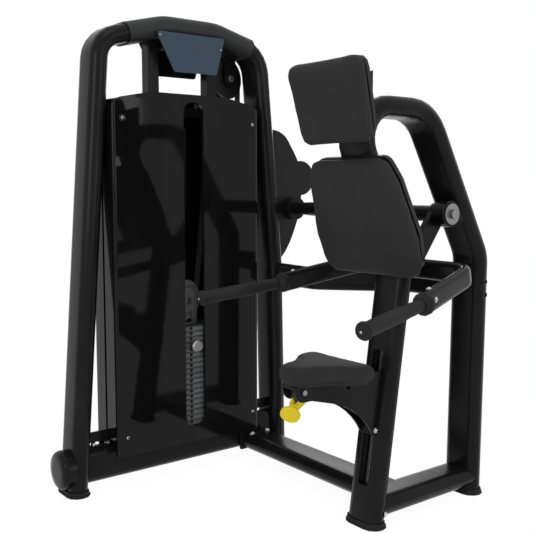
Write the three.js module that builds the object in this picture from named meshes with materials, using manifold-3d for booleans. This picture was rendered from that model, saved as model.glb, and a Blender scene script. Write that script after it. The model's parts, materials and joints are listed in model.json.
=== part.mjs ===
// Seated dip machine with its own weight stack. Millimetres, +Z up, the user looks along -Y.
// The origin is on the floor under the front post. X runs across the seat, away from the weights.
import * as THREE from 'three';
import { mergeVertices } from 'three/addons/utils/BufferGeometryUtils.js';
import Module from 'manifold-3d';

const wasm = await Module();
wasm.setup();

// Gaps and shared sizes
const seatGap = 0.3;
const cutOverrun = 6;
const looseGap = 1.5;
const weldDistance = 0.0005;

// Main flat oval tube
const tubeWide = 120;
const tubeDeep = 60;

// Station loop: a front post that leans back, a head bend, a slanted rear and a rear leg
const frontPostY = -10;
const kneeBendY = 97;
const kneeBendZ = 755;
const kneeBendRadius = 120;
const headBendY = -116;
const headBendZ = 1206;
const headBendRadius = 92;
const rearTopY = 192;
const rearTopRadius = 130;
const rearSlantY = 440;
const rearSlantZ = 768;
const rearSlantRadius = 100;
const rearLegY = 430;
const crossbarZ = 55;
const crossbarWide = 116;

// Rubber floor cups
const footSole = 4;
const footHeight = 17;
const footWall = 5;
const footRimHeight = 6;
const footRimWall = 9;
const belowFloor = 60;

// Pocket in the front post for the seat carriage, and its strip of holes
const pocketWide = 38;
const pocketDepth = 30;
const pocketBottom = 116;
const pocketTop = 512;
const stripWide = 30;
const stripThick = 4;
const stripHoleRadius = 5.5;
const stripHolePitch = 30;
const stripHolesBelow = 8;
const stripHolesAbove = 4;

// Tower arch, which stands beside the station; what hangs in it is measured down from its crown
const towerX = -742;
const towerFrontY = -588;
const archCrownZ = 1500;
const archFrontDrop = 58;
const archRearDrop = 51;
const archFrontY = -482;
const archFrontZ = archCrownZ - archFrontDrop;
const archFrontRadius = 80;
const archCrownFrontY = -250;
const archCrownRearY = -60;
const archCrownRadius = 150;
const archRearY = 137;
const archRearZ = archCrownZ - archRearDrop;
const archRearRadius = 100;
const legBendY = 206;
const legBendZ = 690;
const legBendRadius = 400;
const towerRearY = 222;
const towerBaseZ = 83;
const baseCapRadius = 63;
const baseCapReach = 34;
const baseCapSink = 14;
const baseCapEdge = 9;
const sleeveFrontY = -391;
const sleeveRearY = 90;
const sleeveWall = 5;

// Floor tube and knee tube between tower and station
const lateralY = 112;
const flangeThick = 8;
const flangeHalfWide = 65;
const flangeBottomZ = 22;
const flangeTopZ = 150;
const flangeFootRadius = 6;
const linkZ = 661;
const linkTall = 80;
const linkThick = 40;
const linkTowerY = 215;
const linkStationY = 433;
const linkFirstBendX = -490;
const linkSecondBendX = -256;
const linkBendRadius = 70;

// Weight stack
const stackY = -172;
const plateLong = 300;
const plateWide = 110;
const platePitch = 18.25;
const restingCount = 15;
const pickedCount = 3;
const stackBottomZ = 160.25;
const plateGroove = 1.5;
const rodSpacing = 228;
const rodRadius = 12.5;
const rodHoleRadius = 14;
const stemRadius = 11;
const stemHoleRadius = 13;
const pinRadius = 5;
const pinHoleRadius = 6.5;
const pinTail = 1;
const knobRadius = 21;
const knobLong = 26;
const knobStandOff = 20;
const stackSeatThick = 8;
const stackSeatRise = 3;
const stackSeatWide = 90;
const stackSeatLong = 310;
const bumperRadius = 22;
const hangerSide = 40;
const hangerDrop = 310;
const hangerBottomZ = archCrownZ - hangerDrop;

// Pulleys and belt
const pulleyTurn = 14;
const pulleyRadius = 70;
const treadRadius = 64;
const pulleyWide = 32;
const pulleyFlange = 3;
const pulleyHubRadius = 20;
const pulleyDish = 6;
const axleRadius = 8;
const axleHeadRadius = 13;
const axleHeadLong = 7;
const beltWide = 24;
const beltThick = 3;
const movingPulleyZ = 592;
const topPulleyReach = 230;
const topPulleyDrop = 137;
const topPulleyZ = archCrownZ - topPulleyDrop;
const cheekThick = 5;
const cageLegReach = 35;
const cageLegWide = 26;
const cageFootThick = 4;
const cageEyeRadius = 30;
const bridgeThick = 7;
const bridgeBlockShare = 3;
const bridgeLong = 60;
const anchorRise = 40;
const anchorZ = hangerBottomZ + anchorRise;
const anchorTall = 30;
const anchorBarThick = 16;
const anchorBlockLong = 44;
const anchorBlockWide = 40;

// Moving arm
const pivotY = 290;
const pivotZ = 900;
const shaftRadius = 12;
const pivotTubeRadius = 25;
const pivotTubeNeck = 20;
const pivotTaperLong = 90;
const towerRingX = -681;
const towerRingRadius = 41.5;
const towerRingLong = 28;
const towerNeckRadius = 24;
const towerNeckEndX = -818;
const towerBracketTall = 90;
const towerBracketWide = 70;
const archHousingRadius = 40;
const archHousingLong = 45;
const archWebTall = 46;
const armThick = 20;
const armWide = 59;
const armEyeRadius = 33;
const nutWasherRadius = 32;
const nutWasherThick = 4;
const nutRadius = 13;
const nutLong = 10;

// Cam plate and counterweight, on the far side of the tower's rear leg
const camPlateX = -834;
const camThick = 8;
const camTrackThick = 10;
const camTrackStart = 140;
const camTrackEnd = 238;
const camBeltStartMargin = 1;
const camBeltEndMargin = 2;
const camTopY = 284;
const camTopZ = 1197;
const camShoulderY = 380;
const camShoulderZ = 1141;
const camBackY = 440;
const camBackZ = 1000;
const camHipY = 417;
const camHipZ = 847;
const camTailY = 300;
const camTailZ = 690;
const camCornerRadius = 60;
const camHubRadius = 34;
const camHubLong = 10;
const weightY = 440;
const weightZ = 1013;
const weightRadius = 68;
const weightThick = 24;
const weightSmallRadius = 60;
const weightSmallThick = 14;

// Handles
const yokeHalf = 215;
const yokeY = 172;
const yokeZ = 742;
const yokeBendRadius = 60;
const handleTall = 60;
const handleThick = 30;
const handleWall = 3;
const handleVentRadius = 3;
const handlePlug = 14;
const collarX = 282;
const collarY = -91;
const collarZ = 691;
const gripEndX = 336;
const gripEndY = -362;
const gripEndZ = 657;
const collarRadius = 30;
const collarLong = 22;
const gripCoreRadius = 11;
const gripStartRadius = 16;
const gripFullRadius = 20;
const gripCapRadius = 23;
const gripCapLong = 12;
const gripRibs = 9;
const gripRibRise = 1;

// Shrouds: folded sheets with a long slot
const shroudFrontX = -667;
const shroudRearX = -817;
const shroudSheet = 2.5;
const shroudFrontY = -467;
const shroudRearY = 100;
const shroudBottomZ = 108;
const shroudDrop = 217;
const shroudTopZ = archCrownZ - shroudDrop;
const shroudCornerDrop = 28;
const shroudCornerZ = shroudTopZ - shroudCornerDrop;
const shroudCornerRadius = 38;
const shroudCrownRadiusShare = 9;
const shroudFootRadius = 6;
const shroudFoldRadius = 12;
const shroudReturnZ = 160;
const shroudSeamGap = 12;
const slotFrontY = -207;
const slotRearY = -129;
const slotBottomZ = 160;
const slotTopDrop = 25;
const slotTopZ = shroudTopZ - slotTopDrop;
const slotRim = 12;
const screwInsetFront = 36;
const screwInsetRear = 27;
const screwTopDrop = 87;
const screwTopZ = shroudTopZ - screwTopDrop;
const screwBottomZ = 170;
const postRadius = 7;
const tabThick = 8;
const tabTall = 34;

// Placards
const placardX = -675;
const placardThick = 4;
const placardDrop = 22;
const placardTall = 124;
const placardTopZ = archCrownZ - placardDrop;
const placardBottomZ = placardTopZ - placardTall;
const placardTopFrontY = -302;
const placardTopRearY = -36;
const placardBottomFrontY = -235;
const placardBottomRearY = -70;
const placardCornerRadius = 10;
const placardPostRadius = 6;
const placardPostDrop = 53;
const placardPostZ = placardTopZ - placardPostDrop;

// Pads
const backPadFootY = 26;
const backPadFootZ = 747;
const backPadLean = 19;
const backPadTall = 338;
const backPadFootHalf = 180;
const backPadHipHalf = 193;
const backPadShoulderHalf = 168;
const backPadTopHalf = 140;
const backPadThick = 30;
const backPadCrown = 6;
const backPadHipShare = 0.34;
const backPadShoulderShare = 0.8;
const backPadCornerRadius = 55;
const backPadTopRadius = 34;
const shellThick = 12;
const shellMargin = 4;
const spacerSide = 70;
const spacerDeep = 44;
const spacerLowerUp = 60;
const spacerUpperUp = 170;
const headPadFootY = -112;
const headPadFootZ = 1111;
const headPadLean = 15;
const headPadTall = 217;
const headPadFootHalf = 126;
const headPadTopHalf = 138;
const headPadThick = 38;
const headPadCrown = 5;
const headPadCornerRadius = 34;
const headBracketThick = 8;
const headBracketHalf = 50;
const headBracketFoot = 24;
const headBracketTop = 160;
const headWebWide = 44;
const headWebReach = 130;

// Seat
const seatFrontY = -330;
const seatRearY = -95;
const seatHalf = 130;
const seatFrontRadius = 70;
const seatRearRadius = 42;
const seatBottomZ = 456;
const seatThick = 22;
const seatCrown = 4;
const seatRearRise = 20;
const seatRiseShares = [0.25, 0.9];
const carriageHalf = 25;
const carriagePlateThick = 6;
const carriageBackThick = 8;
const carriageBottom = 268;
const carriageTop = 446;
const guideBottom = 282;
const guideDepth = 22;
const leverBoltY = -272;
const leverBoltZ = 438;
const carriageNoseRadius = 27;
const carriageBoltRadius = 8;
const carriageBoltHead = 5;
const carriageHoleRadius = 7;
const carriageHoleReachShare = 6;
const carriageDipReachShare = 4.2;
const carriageDipDropShare = 1.85;
const leverStemRadius = 8;
const leverFlareRadius = 12;
const leverReach = 56;
const leverKnobRadius = 26;
const leverKnobThick = 12;
const leverLean = 29;
const leverBossRadius = 10;
const leverBossHalf = 19;
const leverCrank = 22;
const leverCrankRadius = 4;
const leverBoltRadius = 5;
const latchRadius = 5;
const latchEyeRadius = 10;
const latchEyeHole = 6.5;
const latchEyeThick = 8;

// Counts that set how finely round shapes are drawn
const ovalSteps = 3;
const bendStepDegrees = 15;
const roundSides = 14;
const fineSides = 22;
const smallSides = 8;

const machine = new THREE.Group();

const paint = (color, roughness, metalness) => new THREE.MeshStandardMaterial({ color, roughness, metalness });
const finish = {
  frame: paint(0x1c1c1e, 0.32, 0.3),
  shroud: paint(0x101011, 0.12, 0.2),
  sleeve: paint(0x47484a, 0.6, 0.1),
  rubber: paint(0x151515, 0.85, 0),
  grip: paint(0x1e1e1f, 0.8, 0),
  cushion: paint(0x333334, 0.7, 0),
  shell: paint(0x161617, 0.45, 0),
  plate: paint(0x55585a, 0.5, 0.4),
  chrome: paint(0xb9bcc0, 0.15, 1),
  steel: paint(0xa8abae, 0.35, 1),
  belt: paint(0x121212, 0.7, 0),
  yellow: paint(0xe8cf1e, 0.4, 0),
  placard: paint(0x3e5462, 0.5, 0),
};

// Vectors and frames
const point = (x, y, z) => new THREE.Vector3(x, y, z);
const radians = THREE.MathUtils.degToRad;
const acrossX = point(1, 0, 0);
const alongY = point(0, 1, 0);
const upZ = point(0, 0, 1);

// A frame whose local x, y and z run along three directions from an origin.
function frameOf(origin, xWay, yWay, zWay) {
  return new THREE.Matrix4().makeBasis(xWay, yWay, zWay).setPosition(origin);
}

// Local x is world Y, local y is world Z, and the outline is extruded towards +X.
const sideFrame = (x) => frameOf(point(x, 0, 0), alongY, upZ, acrossX);

// Solids
function solidOf(geometry) {
  const bare = new THREE.BufferGeometry();
  bare.setAttribute('position', geometry.attributes.position.clone());
  if (geometry.index) bare.setIndex(geometry.index.clone());
  const merged = mergeVertices(bare, weldDistance);
  const corners = merged.index.array;
  const places = merged.attributes.position;
  const kept = [];
  let volume = 0;
  const a = point();
  const b = point();
  const c = point();
  for (let i = 0; i < corners.length; i += 3) {
    const [p, q, r] = [corners[i], corners[i + 1], corners[i + 2]];
    if (p === q || q === r || r === p) continue;
    kept.push(p, q, r);
    a.fromBufferAttribute(places, p);
    b.fromBufferAttribute(places, q);
    c.fromBufferAttribute(places, r);
    volume += a.dot(b.cross(c));
  }
  if (volume < 0) kept.reverse();
  const mesh = new wasm.Mesh({
    numProp: 3,
    vertProperties: Float32Array.from(places.array),
    triVerts: Uint32Array.from(kept),
  });
  return new wasm.Manifold(mesh);
}

function geometryOf(solid) {
  const mesh = solid.getMesh();
  const geometry = new THREE.BufferGeometry();
  geometry.setAttribute('position', new THREE.BufferAttribute(Float32Array.from(mesh.vertProperties), 3));
  geometry.setIndex(new THREE.BufferAttribute(Uint32Array.from(mesh.triVerts), 1));
  geometry.computeVertexNormals();
  return geometry;
}

const join = (...solids) => solids.reduce((whole, next) => whole.add(next));
const cut = (whole, ...tools) => tools.reduce((left, tool) => left.subtract(tool), whole);

function piece(name, solid, material) {
  const mesh = new THREE.Mesh(geometryOf(solid), material);
  mesh.name = name;
  machine.add(mesh);
  return solid;
}

// Basic shapes, each made about its own centre and then placed
function block(sizeX, sizeY, sizeZ, centre, frame = new THREE.Matrix4()) {
  const geometry = new THREE.BoxGeometry(sizeX, sizeY, sizeZ);
  geometry.translate(centre.x, centre.y, centre.z);
  return solidOf(geometry.applyMatrix4(frame));
}

function span(x0, x1, y0, y1, z0, z1, frame) {
  return block(x1 - x0, y1 - y0, z1 - z0, point((x0 + x1) / 2, (y0 + y1) / 2, (z0 + z1) / 2), frame);
}

// A round solid from a profile of [radius, distance] pairs, measured from start along a direction.
function turned(profile, start, direction, sides = roundSides) {
  const points = profile.map(([radius, distance]) => new THREE.Vector2(radius, distance));
  const geometry = new THREE.LatheGeometry(points, sides);
  const turn = new THREE.Quaternion().setFromUnitVectors(alongY, direction.clone().normalize());
  geometry.applyQuaternion(turn);
  geometry.translate(start.x, start.y, start.z);
  return solidOf(geometry);
}

function rod(radius, start, end, sides = roundSides) {
  const way = end.clone().sub(start);
  const long = way.length();
  return turned([[0, 0], [radius, 0], [radius, long], [0, long]], start, way, sides);
}

// A cutter runs past both ends of the bore that it makes, and its flats clear the radius.
function bore(radius, start, end, sides = roundSides) {
  const past = end.clone().sub(start).setLength(cutOverrun);
  return rod(radius / Math.cos(Math.PI / sides), start.clone().sub(past), end.clone().add(past), sides);
}

function plate(outline, thick, frame, arcSteps = ovalSteps) {
  const geometry = new THREE.ExtrudeGeometry(outline, {
    depth: thick, bevelEnabled: false, steps: 1, curveSegments: arcSteps,
  });
  return solidOf(geometry.applyMatrix4(frame));
}

// An outline of [x, y, corner radius] triples, counter-clockwise.
function roundedOutline(corners) {
  const shape = new THREE.Shape();
  corners.forEach(([x, y, radius], i) => {
    const before = corners[(i + corners.length - 1) % corners.length];
    const after = corners[(i + 1) % corners.length];
    const corner = new THREE.Vector2(x, y);
    const back = new THREE.Vector2(before[0] - x, before[1] - y).normalize();
    const ahead = new THREE.Vector2(after[0] - x, after[1] - y).normalize();
    const reach = radius / Math.tan(Math.acos(back.dot(ahead)) / 2);
    const entry = corner.clone().addScaledVector(back, reach);
    const exit = corner.clone().addScaledVector(ahead, reach);
    if (i === 0) shape.moveTo(entry.x, entry.y);
    else shape.lineTo(entry.x, entry.y);
    if (radius > 0) shape.quadraticCurveTo(corner.x, corner.y, exit.x, exit.y);
  });
  shape.closePath();
  return shape;
}

// Flat oval: two flats and two half rounds. Local x is its wide way.
function flatOval(wide, deep) {
  const shape = new THREE.Shape();
  const flat = (wide - deep) / 2;
  shape.absarc(flat, 0, deep / 2, -Math.PI / 2, Math.PI / 2);
  shape.absarc(-flat, 0, deep / 2, Math.PI / 2, 3 * Math.PI / 2);
  return shape;
}

// A path of straight runs and round bends, with a station only where the heading changes.
class BentPath extends THREE.Curve {
  constructor(corners, flatWay) {
    super();
    this.flatWay = flatWay.clone().normalize();
    this.stations = [];
    corners.forEach((corner, i) => this.addCorner(corners[i - 1], corner, corners[i + 1]));
  }

  addCorner(before, corner, after) {
    if (!before || !after) {
      const ends = before ? [before.at, corner.at] : [corner.at, after.at];
      this.stations.push({ at: corner.at.clone(), heading: ends[1].clone().sub(ends[0]).normalize() });
      return;
    }
    const arriving = corner.at.clone().sub(before.at).normalize();
    const leaving = after.at.clone().sub(corner.at).normalize();
    const turn = arriving.angleTo(leaving);
    const inward = leaving.clone().addScaledVector(arriving, -arriving.dot(leaving)).normalize();
    const entry = corner.at.clone().addScaledVector(arriving, -corner.radius * Math.tan(turn / 2));
    const steps = Math.max(2, Math.ceil(THREE.MathUtils.radToDeg(turn) / bendStepDegrees));
    for (let step = 0; step <= steps; step += 1) {
      const angle = turn * step / steps;
      this.stations.push({
        at: entry.clone()
          .addScaledVector(arriving, corner.radius * Math.sin(angle))
          .addScaledVector(inward, corner.radius * (1 - Math.cos(angle))),
        heading: arriving.clone().multiplyScalar(Math.cos(angle))
          .addScaledVector(inward, Math.sin(angle)),
      });
    }
  }

  getPointAt(share) {
    return this.stations[Math.round(share * (this.stations.length - 1))].at.clone();
  }

  computeFrenetFrames() {
    const tangents = this.stations.map((station) => station.heading);
    const normals = this.stations.map((station) => station.flatWay ?? this.flatWay);
    const binormals = tangents.map((tangent, i) => new THREE.Vector3().crossVectors(tangent, normals[i]));
    return { tangents, normals, binormals };
  }
}

function sweep(path, outline, arcSteps = ovalSteps) {
  return solidOf(new THREE.ExtrudeGeometry(outline, {
    steps: path.stations.length - 1, extrudePath: path, curveSegments: arcSteps,
  }));
}

// A flat oval tube along a path, grown all round by a clearance where it is used as a cutter.
const tube = (path, wide, deep, grow = 0) => sweep(path, flatOval(wide + 2 * grow, deep + 2 * grow));

const inSide = (x, y, z, radius) => ({ at: point(x, y, z), radius });

// Station
const kneeSlope = (kneeBendY - frontPostY) / kneeBendZ;
const rearLegSlope = (rearSlantY - rearLegY) / rearSlantZ;
const stationPath = new BentPath([
  inSide(0, frontPostY - kneeSlope * belowFloor, -belowFloor),
  inSide(0, kneeBendY, kneeBendZ, kneeBendRadius),
  inSide(0, headBendY, headBendZ, headBendRadius),
  inSide(0, rearTopY, headBendZ, rearTopRadius),
  inSide(0, rearSlantY, rearSlantZ, rearSlantRadius),
  inSide(0, rearLegY - rearLegSlope * belowFloor, -belowFloor),
], acrossX);
const stationTube = (grow) => tube(stationPath, tubeWide, tubeDeep, grow);

// Everything under a height, for trimming legs at the soles of their cups
const farReach = 3000;
const below = (z) => span(-farReach, farReach, -farReach, farReach, -farReach, z);

// Front post frame: local x across, local y into the post, local z up along it
const postUp = point(0, kneeSlope, 1).normalize();
const postIn = new THREE.Vector3().crossVectors(postUp, acrossX);
const postFrame = frameOf(point(0, frontPostY, 0), acrossX, postIn, postUp);
const intoPost = postFrame.clone().invert();
const postFace = -tubeDeep / 2;

// Latch line: level with the lever's crank, square to the post
const crankPlace = point(0, leverBoltY, leverBoltZ - leverCrank);
const crankInPost = crankPlace.clone().applyMatrix4(intoPost);
const latchAlong = crankInPost.z;
const pocketFloor = postFace + pocketDepth;

function stationFrame() {
  const pocket = span(-pocketWide / 2, pocketWide / 2, postFace - cutOverrun, pocketFloor,
    pocketBottom, pocketTop, postFrame);
  const bracket = headBracket();
  const frame = join(cut(stationTube(0), below(footSole + seatGap), pocket), bracket);
  piece('station_frame', frame, finish.frame);
}

function floorCup(name, path, centreY, x) {
  const outlineAt = (wall) => flatOval(tubeWide + 2 * wall, tubeDeep + 2 * wall);
  const place = frameOf(point(x, centreY, 0), acrossX, alongY, upZ);
  const cup = join(plate(outlineAt(footWall), footHeight, place), plate(outlineAt(footRimWall), footRimHeight, place));
  const hole = tube(path, tubeWide, tubeDeep, seatGap).subtract(below(footSole));
  piece(name, cut(cup, hole), finish.rubber);
}

function stationCrossbar() {
  const path = new BentPath([inSide(0, frontPostY, crossbarZ), inSide(0, rearLegY, crossbarZ)], acrossX);
  piece('station_crossbar', cut(tube(path, crossbarWide, tubeDeep), stationTube(seatGap)), finish.frame);
}

function seatHeightStrip() {
  const back = pocketFloor - seatGap;
  const strip = span(-stripWide / 2, stripWide / 2, back - stripThick, back,
    pocketBottom + looseGap, pocketTop - looseGap, postFrame);
  const holes = [];
  for (let i = -stripHolesBelow; i <= stripHolesAbove; i += 1) {
    const start = point(0, back - stripThick, latchAlong + i * stripHolePitch).applyMatrix4(postFrame);
    const end = point(0, back, latchAlong + i * stripHolePitch).applyMatrix4(postFrame);
    holes.push(bore(stripHoleRadius, start, end, smallSides));
  }
  piece('seat_height_strip', cut(strip, ...holes), finish.steel);
}

// Tower
const towerRise = (towerFrontY - archFrontY) / archFrontZ;
const towerRearRise = (legBendY - towerRearY) / legBendZ;
const archPath = new BentPath([
  inSide(towerX, towerFrontY + towerRise * belowFloor, -belowFloor),
  inSide(towerX, archFrontY, archFrontZ, archFrontRadius),
  inSide(towerX, archCrownFrontY, archCrownZ, archCrownRadius),
  inSide(towerX, archCrownRearY, archCrownZ, archCrownRadius),
  inSide(towerX, archRearY, archRearZ, archRearRadius),
  inSide(towerX, legBendY, legBendZ, legBendRadius),
  inSide(towerX, towerRearY - towerRearRise * belowFloor, -belowFloor),
], acrossX);
const archTube = (grow) => tube(archPath, tubeWide, tubeDeep, grow);

const archFrontSlope = (archCrownZ - archFrontZ) / (archCrownFrontY - archFrontY);
const archRearSlope = (archRearZ - archCrownZ) / (archRearY - archCrownRearY);
const sleevePath = new BentPath([
  inSide(towerX, sleeveFrontY, archFrontZ + archFrontSlope * (sleeveFrontY - archFrontY)),
  inSide(towerX, archCrownFrontY, archCrownZ, archCrownRadius),
  inSide(towerX, archCrownRearY, archCrownZ, archCrownRadius),
  inSide(towerX, sleeveRearY, archCrownZ + archRearSlope * (sleeveRearY - archCrownRearY)),
], acrossX);
const sleeveTube = (grow) => tube(sleevePath, tubeWide + 2 * sleeveWall, tubeDeep + 2 * sleeveWall, grow);

const basePath = new BentPath([
  inSide(towerX, towerFrontY, towerBaseZ), inSide(towerX, towerRearY, towerBaseZ),
], upZ);
const stackSeatTop = towerBaseZ + tubeWide / 2 + stackSeatRise;
const towerBase = (grow) => tube(basePath, tubeWide, tubeDeep, grow);

// Where each shroud screw sits, and the leg's middle at that height
const upperLegLean = (archRearY - legBendY) / (archRearZ - legBendZ);
const rearLegMiddle = (z) => towerRearY + towerRearRise * Math.min(z, legBendZ)
  + upperLegLean * Math.max(0, z - legBendZ);
const legMiddle = (z, front) => (front ? towerFrontY - towerRise * z : rearLegMiddle(z));
const screwPlaces = [screwTopZ, screwBottomZ].flatMap((z) => [
  [shroudFrontY + screwInsetFront, z, legMiddle(z, true)],
  [shroudRearY - screwInsetRear, z, legMiddle(z, false)],
]);

function tower() {
  piece('tower_arch', join(cut(archTube(0), below(footSole + seatGap)), ...shroudTabs()), finish.frame);
  const seatPlate = span(towerX - stackSeatWide / 2, towerX + stackSeatWide / 2, stackY - stackSeatLong / 2,
    stackY + stackSeatLong / 2, stackSeatTop - stackSeatThick, stackSeatTop);
  piece('tower_base_tube', join(cut(towerBase(0), archTube(seatGap)), seatPlate), finish.frame);
  piece('top_sleeve', cut(sleeveTube(0), archTube(seatGap)), finish.sleeve);
  const capBack = towerFrontY - towerRise * towerBaseZ - tubeDeep / 2 + baseCapSink;
  const cap = turned([
    [0, 0], [baseCapRadius, 0], [baseCapRadius, baseCapSink + baseCapReach - 2 * baseCapEdge],
    [baseCapRadius - baseCapEdge / 3, baseCapSink + baseCapReach - baseCapEdge],
    [baseCapRadius - baseCapEdge, baseCapSink + baseCapReach - baseCapEdge / 3],
    [baseCapRadius / 2, baseCapSink + baseCapReach], [0, baseCapSink + baseCapReach],
  ], point(towerX, capBack, towerBaseZ), point(0, -1, 0), fineSides);
  piece('tower_base_cap', cut(cap, archTube(seatGap)), finish.frame);
}

// Tubes between tower and station
function lateralTube() {
  const baseSide = towerX + tubeDeep / 2;
  const flangeX = baseSide + seatGap;
  const path = new BentPath([
    inSide(flangeX + flangeThick / 2, lateralY, crossbarZ), inSide(0, lateralY, crossbarZ),
  ], alongY);
  const crossbarPath = new BentPath([inSide(0, frontPostY, crossbarZ), inSide(0, rearLegY, crossbarZ)], acrossX);
  const blank = tube(path, tubeWide, tubeDeep);
  const lateral = cut(blank, tube(crossbarPath, crossbarWide, tubeDeep, seatGap), span(0, farReach,
    -farReach, farReach, -farReach, farReach));
  const flange = plate(roundedOutline([
    [lateralY - flangeHalfWide, flangeBottomZ, flangeFootRadius],
    [lateralY + flangeHalfWide, flangeBottomZ, flangeFootRadius],
    [lateralY + flangeHalfWide, flangeTopZ, flangeHalfWide / 2],
    [lateralY - flangeHalfWide, flangeTopZ, flangeHalfWide / 2],
  ]), flangeThick, sideFrame(flangeX), 2 * ovalSteps);
  piece('lateral_base_tube', join(lateral, flange), finish.frame);
}

function linkTube() {
  const path = new BentPath([
    inSide(towerX, linkTowerY, linkZ), inSide(linkFirstBendX, linkTowerY, linkZ, linkBendRadius),
    inSide(linkSecondBendX, linkStationY, linkZ, linkBendRadius), inSide(0, linkStationY, linkZ),
  ], upZ);
  piece('link_tube', cut(tube(path, linkTall, linkThick), archTube(seatGap), stationTube(seatGap)), finish.frame);
}

// Weight stack
const rodPlaces = [-1, 1].map((side) => stackY + side * rodSpacing / 2);
const postPlaces = [rodPlaces[0] + hangerSide / 3, rodPlaces[1] - hangerSide / 3];
const plateThick = platePitch - seatGap;
const headPlateZ = stackBottomZ + (restingCount + pickedCount) * platePitch;
const headPlateTop = headPlateZ + plateThick;
const pinZ = stackBottomZ + restingCount * platePitch + plateThick / 2;

// Plates that stay together are one solid with a groove at each joint; holes run right through.
function stackBlock(z, count, tall) {
  const thick = (count - 1) * platePitch + tall;
  const slab = (grow, from, deep) => span(towerX - plateWide / 2 + grow, towerX + plateWide / 2 - grow,
    stackY - plateLong / 2 + grow, stackY + plateLong / 2 - grow, from, from + deep);
  const parts = [slab(plateGroove, z, thick)];
  for (let i = 0; i < count; i += 1) parts.push(slab(0, z + i * platePitch, tall));
  const upright = (radius, y) => bore(radius, point(towerX, y, z), point(towerX, y, z + thick), smallSides);
  const pinHoles = parts.slice(1).map((_, i) => bore(pinHoleRadius,
    point(towerX, stackY, z + i * platePitch + tall / 2),
    point(towerX + plateWide / 2, stackY, z + i * platePitch + tall / 2), smallSides));
  return cut(join(...parts), ...rodPlaces.map((y) => upright(rodHoleRadius, y)), upright(stemHoleRadius, stackY),
    ...pinHoles);
}

function weightStack() {
  piece('resting_plates', stackBlock(stackBottomZ, restingCount, plateThick), finish.plate);
  piece('lifted_plates', stackBlock(stackBottomZ + restingCount * platePitch, pickedCount, plateThick), finish.plate);
  const stemTop = point(towerX, stackY, headPlateTop);
  const stemBottom = point(towerX, stackY, stackBottomZ + platePitch);
  const collar = rod(stemHoleRadius + looseGap, point(towerX, stackY, headPlateZ), stemTop);
  piece('head_plate', cut(join(stackBlock(headPlateZ, 1, plateThick), collar),
    bore(stemRadius + seatGap, point(towerX, stackY, headPlateZ), stemTop, smallSides)), finish.plate);
  const pinHole = bore(pinRadius + seatGap, point(towerX - stemRadius, stackY, pinZ),
    point(towerX + stemRadius, stackY, pinZ), smallSides);
  piece('selector_stem', cut(rod(stemRadius, stemBottom, stemTop, smallSides), pinHole), finish.steel);
  const plateFront = towerX + plateWide / 2;
  const pinEnd = towerX - stemRadius - pinTail;
  const stemSide = plateFront + knobStandOff - pinEnd;
  const pin = turned([
    [0, 0], [pinRadius, 0], [pinRadius, stemSide], [knobRadius / 2, stemSide],
    [knobRadius, stemSide + knobLong / 4], [knobRadius, stemSide + 3 * knobLong / 4],
    [3 * knobRadius / 4, stemSide + knobLong], [0, stemSide + knobLong],
  ], point(pinEnd, stackY, pinZ), acrossX, roundSides);
  piece('selector_pin', pin, finish.chrome);
  const restPlaces = rodPlaces.map((y) => point(towerX, y, stackSeatTop + seatGap));
  restPlaces.forEach((place, i) => piece(['guide_rod_front', 'guide_rod_rear'][i],
    rod(rodRadius, place, point(place.x, place.y, hangerBottomZ - seatGap)), finish.chrome));
  const cushion = span(towerX - bumperRadius, towerX + bumperRadius, rodPlaces[0] - bumperRadius,
    rodPlaces[1] + bumperRadius, stackSeatTop + seatGap, stackBottomZ - seatGap);
  piece('stack_bumper', cut(cushion, ...restPlaces.map((place) => bore(rodRadius + seatGap, place,
    point(place.x, place.y, stackBottomZ)))), finish.rubber);
}

// Two square hangers under the arch, the bar between them that holds the belt, and the placard posts
function hangerFrame() {
  const hangers = rodPlaces.map((y) => cut(
    span(towerX - hangerSide / 2, towerX + hangerSide / 2, y - hangerSide / 2, y + hangerSide / 2,
      hangerBottomZ, archCrownZ),
    archTube(seatGap), sleeveTube(seatGap),
  ));
  const bar = span(towerX - anchorBarThick / 2, towerX + anchorBarThick / 2, rodPlaces[0], rodPlaces[1],
    anchorZ - anchorTall / 2, anchorZ + anchorTall / 2);
  const clamp = block(anchorBlockLong, anchorBlockWide, anchorTall, inPulleys(-beltRadius, anchorZ));
  const posts = postPlaces.map((y) => rod(placardPostRadius,
    point(2 * towerX - placardX + placardThick / 2 + seatGap, y, placardPostZ),
    point(placardX - placardThick / 2 - seatGap, y, placardPostZ), smallSides));
  piece('hanger_frame', join(...hangers, bar, clamp, ...posts), finish.frame);
}

// Pulley frame: local x along the pulleys' plane, local y up, local z along their axles
const pulleyAngle = radians(pulleyTurn);
const pulleyWay = point(-Math.sin(pulleyAngle), Math.cos(pulleyAngle), 0);
const axleWay = point(Math.cos(pulleyAngle), Math.sin(pulleyAngle), 0);
const pulleyFrame = frameOf(point(towerX, stackY, 0), pulleyWay, upZ, axleWay);
const inPulleys = (reach, z, side = 0) => point(reach, z, side).applyMatrix4(pulleyFrame);
const flatShare = Math.cos(radians(bendStepDegrees) / 2);
const beltRadius = (treadRadius + seatGap) / flatShare + beltThick / 2;

function pulley(reach, z) {
  const half = pulleyWide / 2;
  const inner = half - pulleyFlange;
  const dishRadius = (treadRadius + pulleyHubRadius) / 2;
  const boreRadius = axleRadius + seatGap;
  return turned([
    [boreRadius, -half], [pulleyHubRadius, -half], [dishRadius, pulleyDish - half], [treadRadius - pulleyDish, -half],
    [pulleyRadius, -half], [pulleyRadius, -inner], [treadRadius, -inner], [treadRadius, inner],
    [pulleyRadius, inner], [pulleyRadius, half], [treadRadius - pulleyDish, half], [dishRadius, half - pulleyDish],
    [pulleyHubRadius, half], [boreRadius, half], [boreRadius, -half],
  ], inPulleys(reach, z), axleWay, fineSides);
}

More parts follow.
